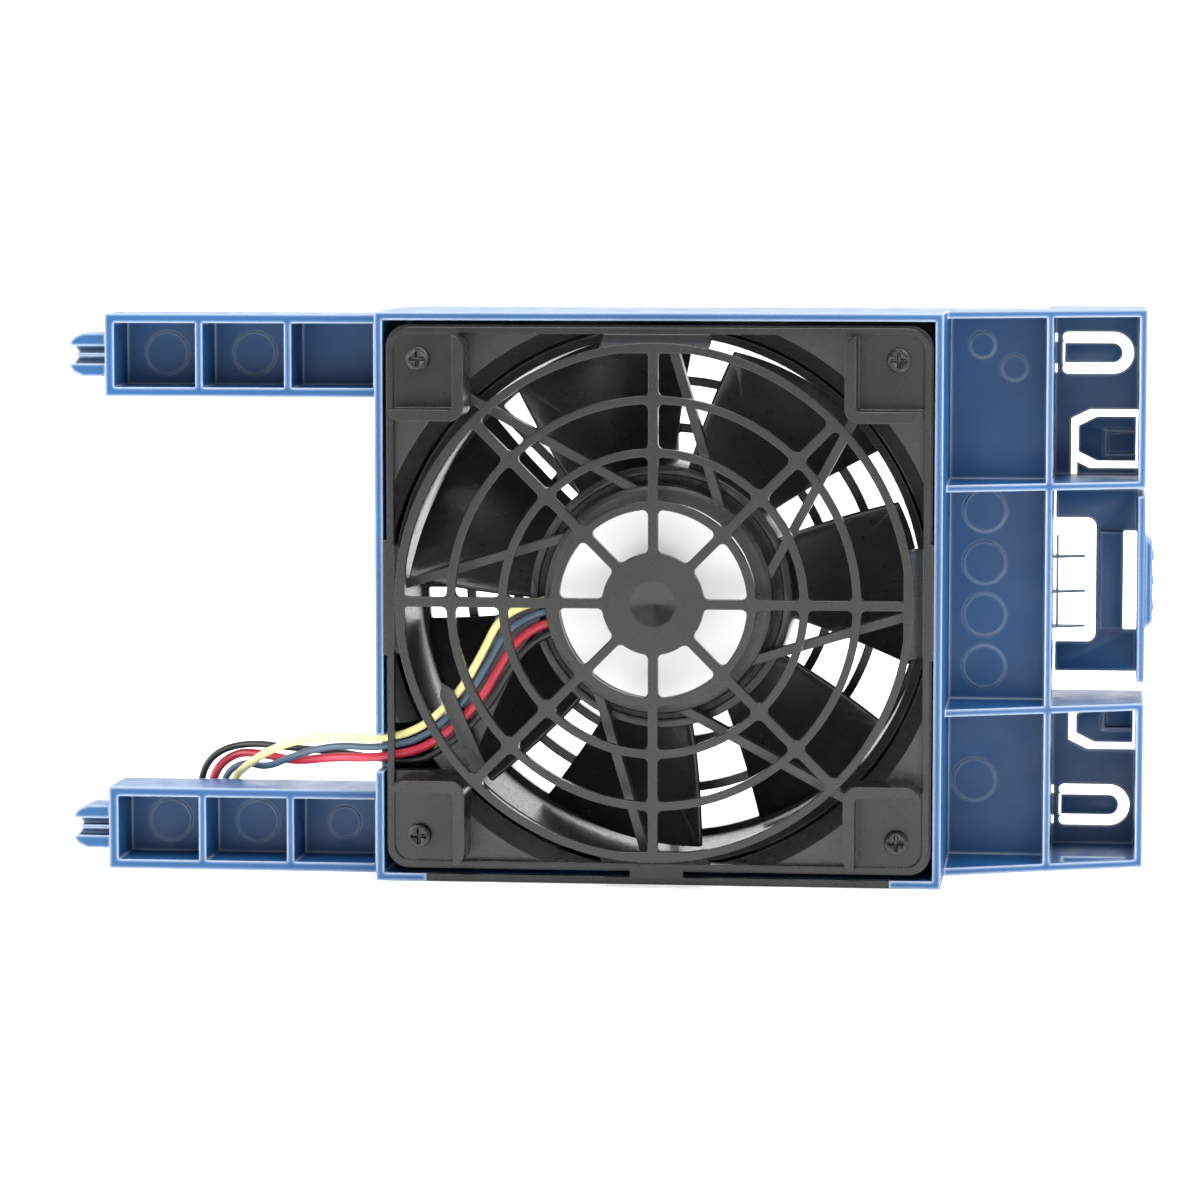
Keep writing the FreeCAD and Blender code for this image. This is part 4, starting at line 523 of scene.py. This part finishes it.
def studio_lights(context):
    """A dim room, a broad bank overhead, grazing banks at both sides and a weak front fill."""
    world = context.scene.world or bpy.data.worlds.new("studio")
    context.scene.world = world
    world.use_nodes = True
    world.node_tree.nodes["Background"].inputs["Color"].default_value = linear("#FFFFFF")
    world.node_tree.nodes["Background"].inputs["Strength"].default_value = 0.14
    target = Vector((0, 0, AXIS_Z))
    for name, spot, watts, wide in (
        ("overhead_bank", (0.1, -0.45, 1.3), 36, 1.1),
        ("left_bank", (-1.3, -0.5, 0.3), 12, 0.8),
        ("right_bank", (1.3, -0.5, 0.3), 12, 0.8),
        ("front_fill", (0.2, -1.7, 0.5), 3, 1.0),
        ("rear_wash", (0.0, 0.5, 1.6), 14, 1.2),
    ):
        light = bpy.data.lights.new(name, "AREA")
        light.energy = watts
        light.size = wide
        lamp = bpy.data.objects.new(name, light)
        lamp.location = spot
        lamp.rotation_euler = (target - Vector(spot)).to_track_quat("-Z", "Y").to_euler()
        context.scene.collection.objects.link(lamp)
    context.scene.view_settings.view_transform = "Standard"


def stand_camera(context):
    """The camera stands right of and above the fan, and looks at the module's middle."""
    settings = context.scene.fan_camera
    low, high = CAD_BOX
    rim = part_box("carrier")[0].y
    spot = Vector((settings.right, rim - settings.away, AXIS_Z + settings.above))
    aim = Vector(((low[0] + high[0]) / 2, rim, AXIS_Z))
    data = bpy.data.cameras.new("camera")
    camera = bpy.data.objects.new("camera", data)
    camera.location = spot
    camera.rotation_euler = (aim - spot).to_track_quat("-Z", "Y").to_euler()
    width = (high[0] - low[0]) / settings.fill
    data.lens = data.sensor_width * (aim - spot).length / width
    context.scene.collection.objects.link(camera)
    context.scene.camera = camera


class FANMODULE_OT_carrier(bpy.types.Operator):
    """The blue moulding with its latch, spring fingers and catch tabs"""

    bl_idname = "fanmodule.carrier"
    bl_label = "Carrier"

    def execute(self, context):
        edges = context.scene.fan_edges
        plastic = MATERIALS["carrier_plastic"]
        finished(plain("carrier", "carrier_moulding"), plastic)
        finished(softened("release_latch", "latch_moulding", edges.latch, edges.steps), plastic)
        for side in ("upper", "lower"):
            for kind in ("spring_finger", "catch_tab"):
                piece = softened(f"{side}_{kind}", f"{side}_{kind}_moulding", edges.latch / 2, edges.steps)
                finished(piece, plastic)
        return {"FINISHED"}


class FANMODULE_OT_guards(bpy.types.Operator):
    """The raised front guard, the flat rear guard and their screws"""

    bl_idname = "fanmodule.guards"
    bl_label = "Guards"

    def execute(self, context):
        edges = context.scene.fan_edges
        for side in ("front", "rear"):
            finished(plain(f"{side}_guard", f"{side}_guard_moulding"), MATERIALS["guard_plastic"])
            screws = softened(f"{side}_screws", f"{side}_screws_turned", edges.screw, 1)
            finished(screws, MATERIALS["black_steel"])
        return {"FINISHED"}


class FANMODULE_OT_fan(bpy.types.Operator):
    """The fan's frame, impeller and blank label"""

    bl_idname = "fanmodule.fan"
    bl_label = "Fan"

    def execute(self, context):
        edges = context.scene.fan_edges
        finished(plain("fan_housing", "fan_frame"), MATERIALS["fan_plastic"])
        finished(softened("impeller", "fan_blades", edges.blade, edges.steps), MATERIALS["impeller_plastic"])
        finish_nodes(["motor_label"])
        return {"FINISHED"}


class FANMODULE_OT_motor(bpy.types.Operator):
    """The motor inside the hub"""

    bl_idname = "fanmodule.motor"
    bl_label = "Motor"

    def execute(self, context):
        inside = ("rotor_", "bearing", "clip", "washer", "stator_", "insulator", "board", "solder")
        finish_nodes([n for n in NODES if any(word in n for word in inside)])
        return {"FINISHED"}


class FANMODULE_OT_lead(bpy.types.Operator):
    """The four wires and their plug"""

    bl_idname = "fanmodule.lead"
    bl_label = "Lead"

    def execute(self, context):
        for node, (diameter, route) in WIRES.items():
            piece = lead_wire(node + "_insulation", diameter, route)
            finished(piece, MATERIALS[SLOT_OF[node]])
            stand_in(piece, node)
            declare_cord(piece)
        finish_nodes(["plug_housing", "plug_contacts"])
        return {"FINISHED"}


def declare_cord(piece):
    """Makes a mesh of the wire's centreline, and keeps nothing of it."""
    spline = bpy.data.meshes.new_from_object(bare_copy(piece))


def bare_copy(piece):
    """The wire's centreline, with no thickness."""
    curve = piece.data.copy()
    curve.bevel_depth = 0
    return bpy.data.objects.new("centreline", curve)


class FANMODULE_PT_panel(bpy.types.Panel):
    """Lists the module's pieces"""

    bl_idname = "FANMODULE_PT_panel"
    bl_label = "Fan module"
    bl_space_type = "VIEW_3D"
    bl_region_type = "UI"
    bl_category = "Fan module"

    def draw(self, context):
        for operator in OPERATORS:
            self.layout.operator(operator.bl_idname)


SETTINGS = (("fan_finish", FinishSettings), ("fan_edges", EdgeSettings), ("fan_camera", CameraSettings))
OPERATORS = (
    FANMODULE_OT_stage,
    FANMODULE_OT_carrier,
    FANMODULE_OT_guards,
    FANMODULE_OT_fan,
    FANMODULE_OT_motor,
    FANMODULE_OT_lead,
)
MATERIALS = {}


def register():
    for name, group in SETTINGS:
        bpy.utils.register_class(group)
        setattr(bpy.types.Scene, name, PointerProperty(type=group))
    for item in OPERATORS + (FANMODULE_PT_panel,):
        bpy.utils.register_class(item)


def unregister():
    for item in reversed(OPERATORS + (FANMODULE_PT_panel,)):
        bpy.utils.unregister_class(item)
    for name, group in reversed(SETTINGS):
        delattr(bpy.types.Scene, name)
        bpy.utils.unregister_class(group)


def main():
    register()
    MATERIALS.update(make_materials(bpy.context.scene.fan_finish))
    for operator in OPERATORS:
        group, name = operator.bl_idname.split(".")
        getattr(getattr(bpy.ops, group), name)()


if __name__ == "__main__":
    main()
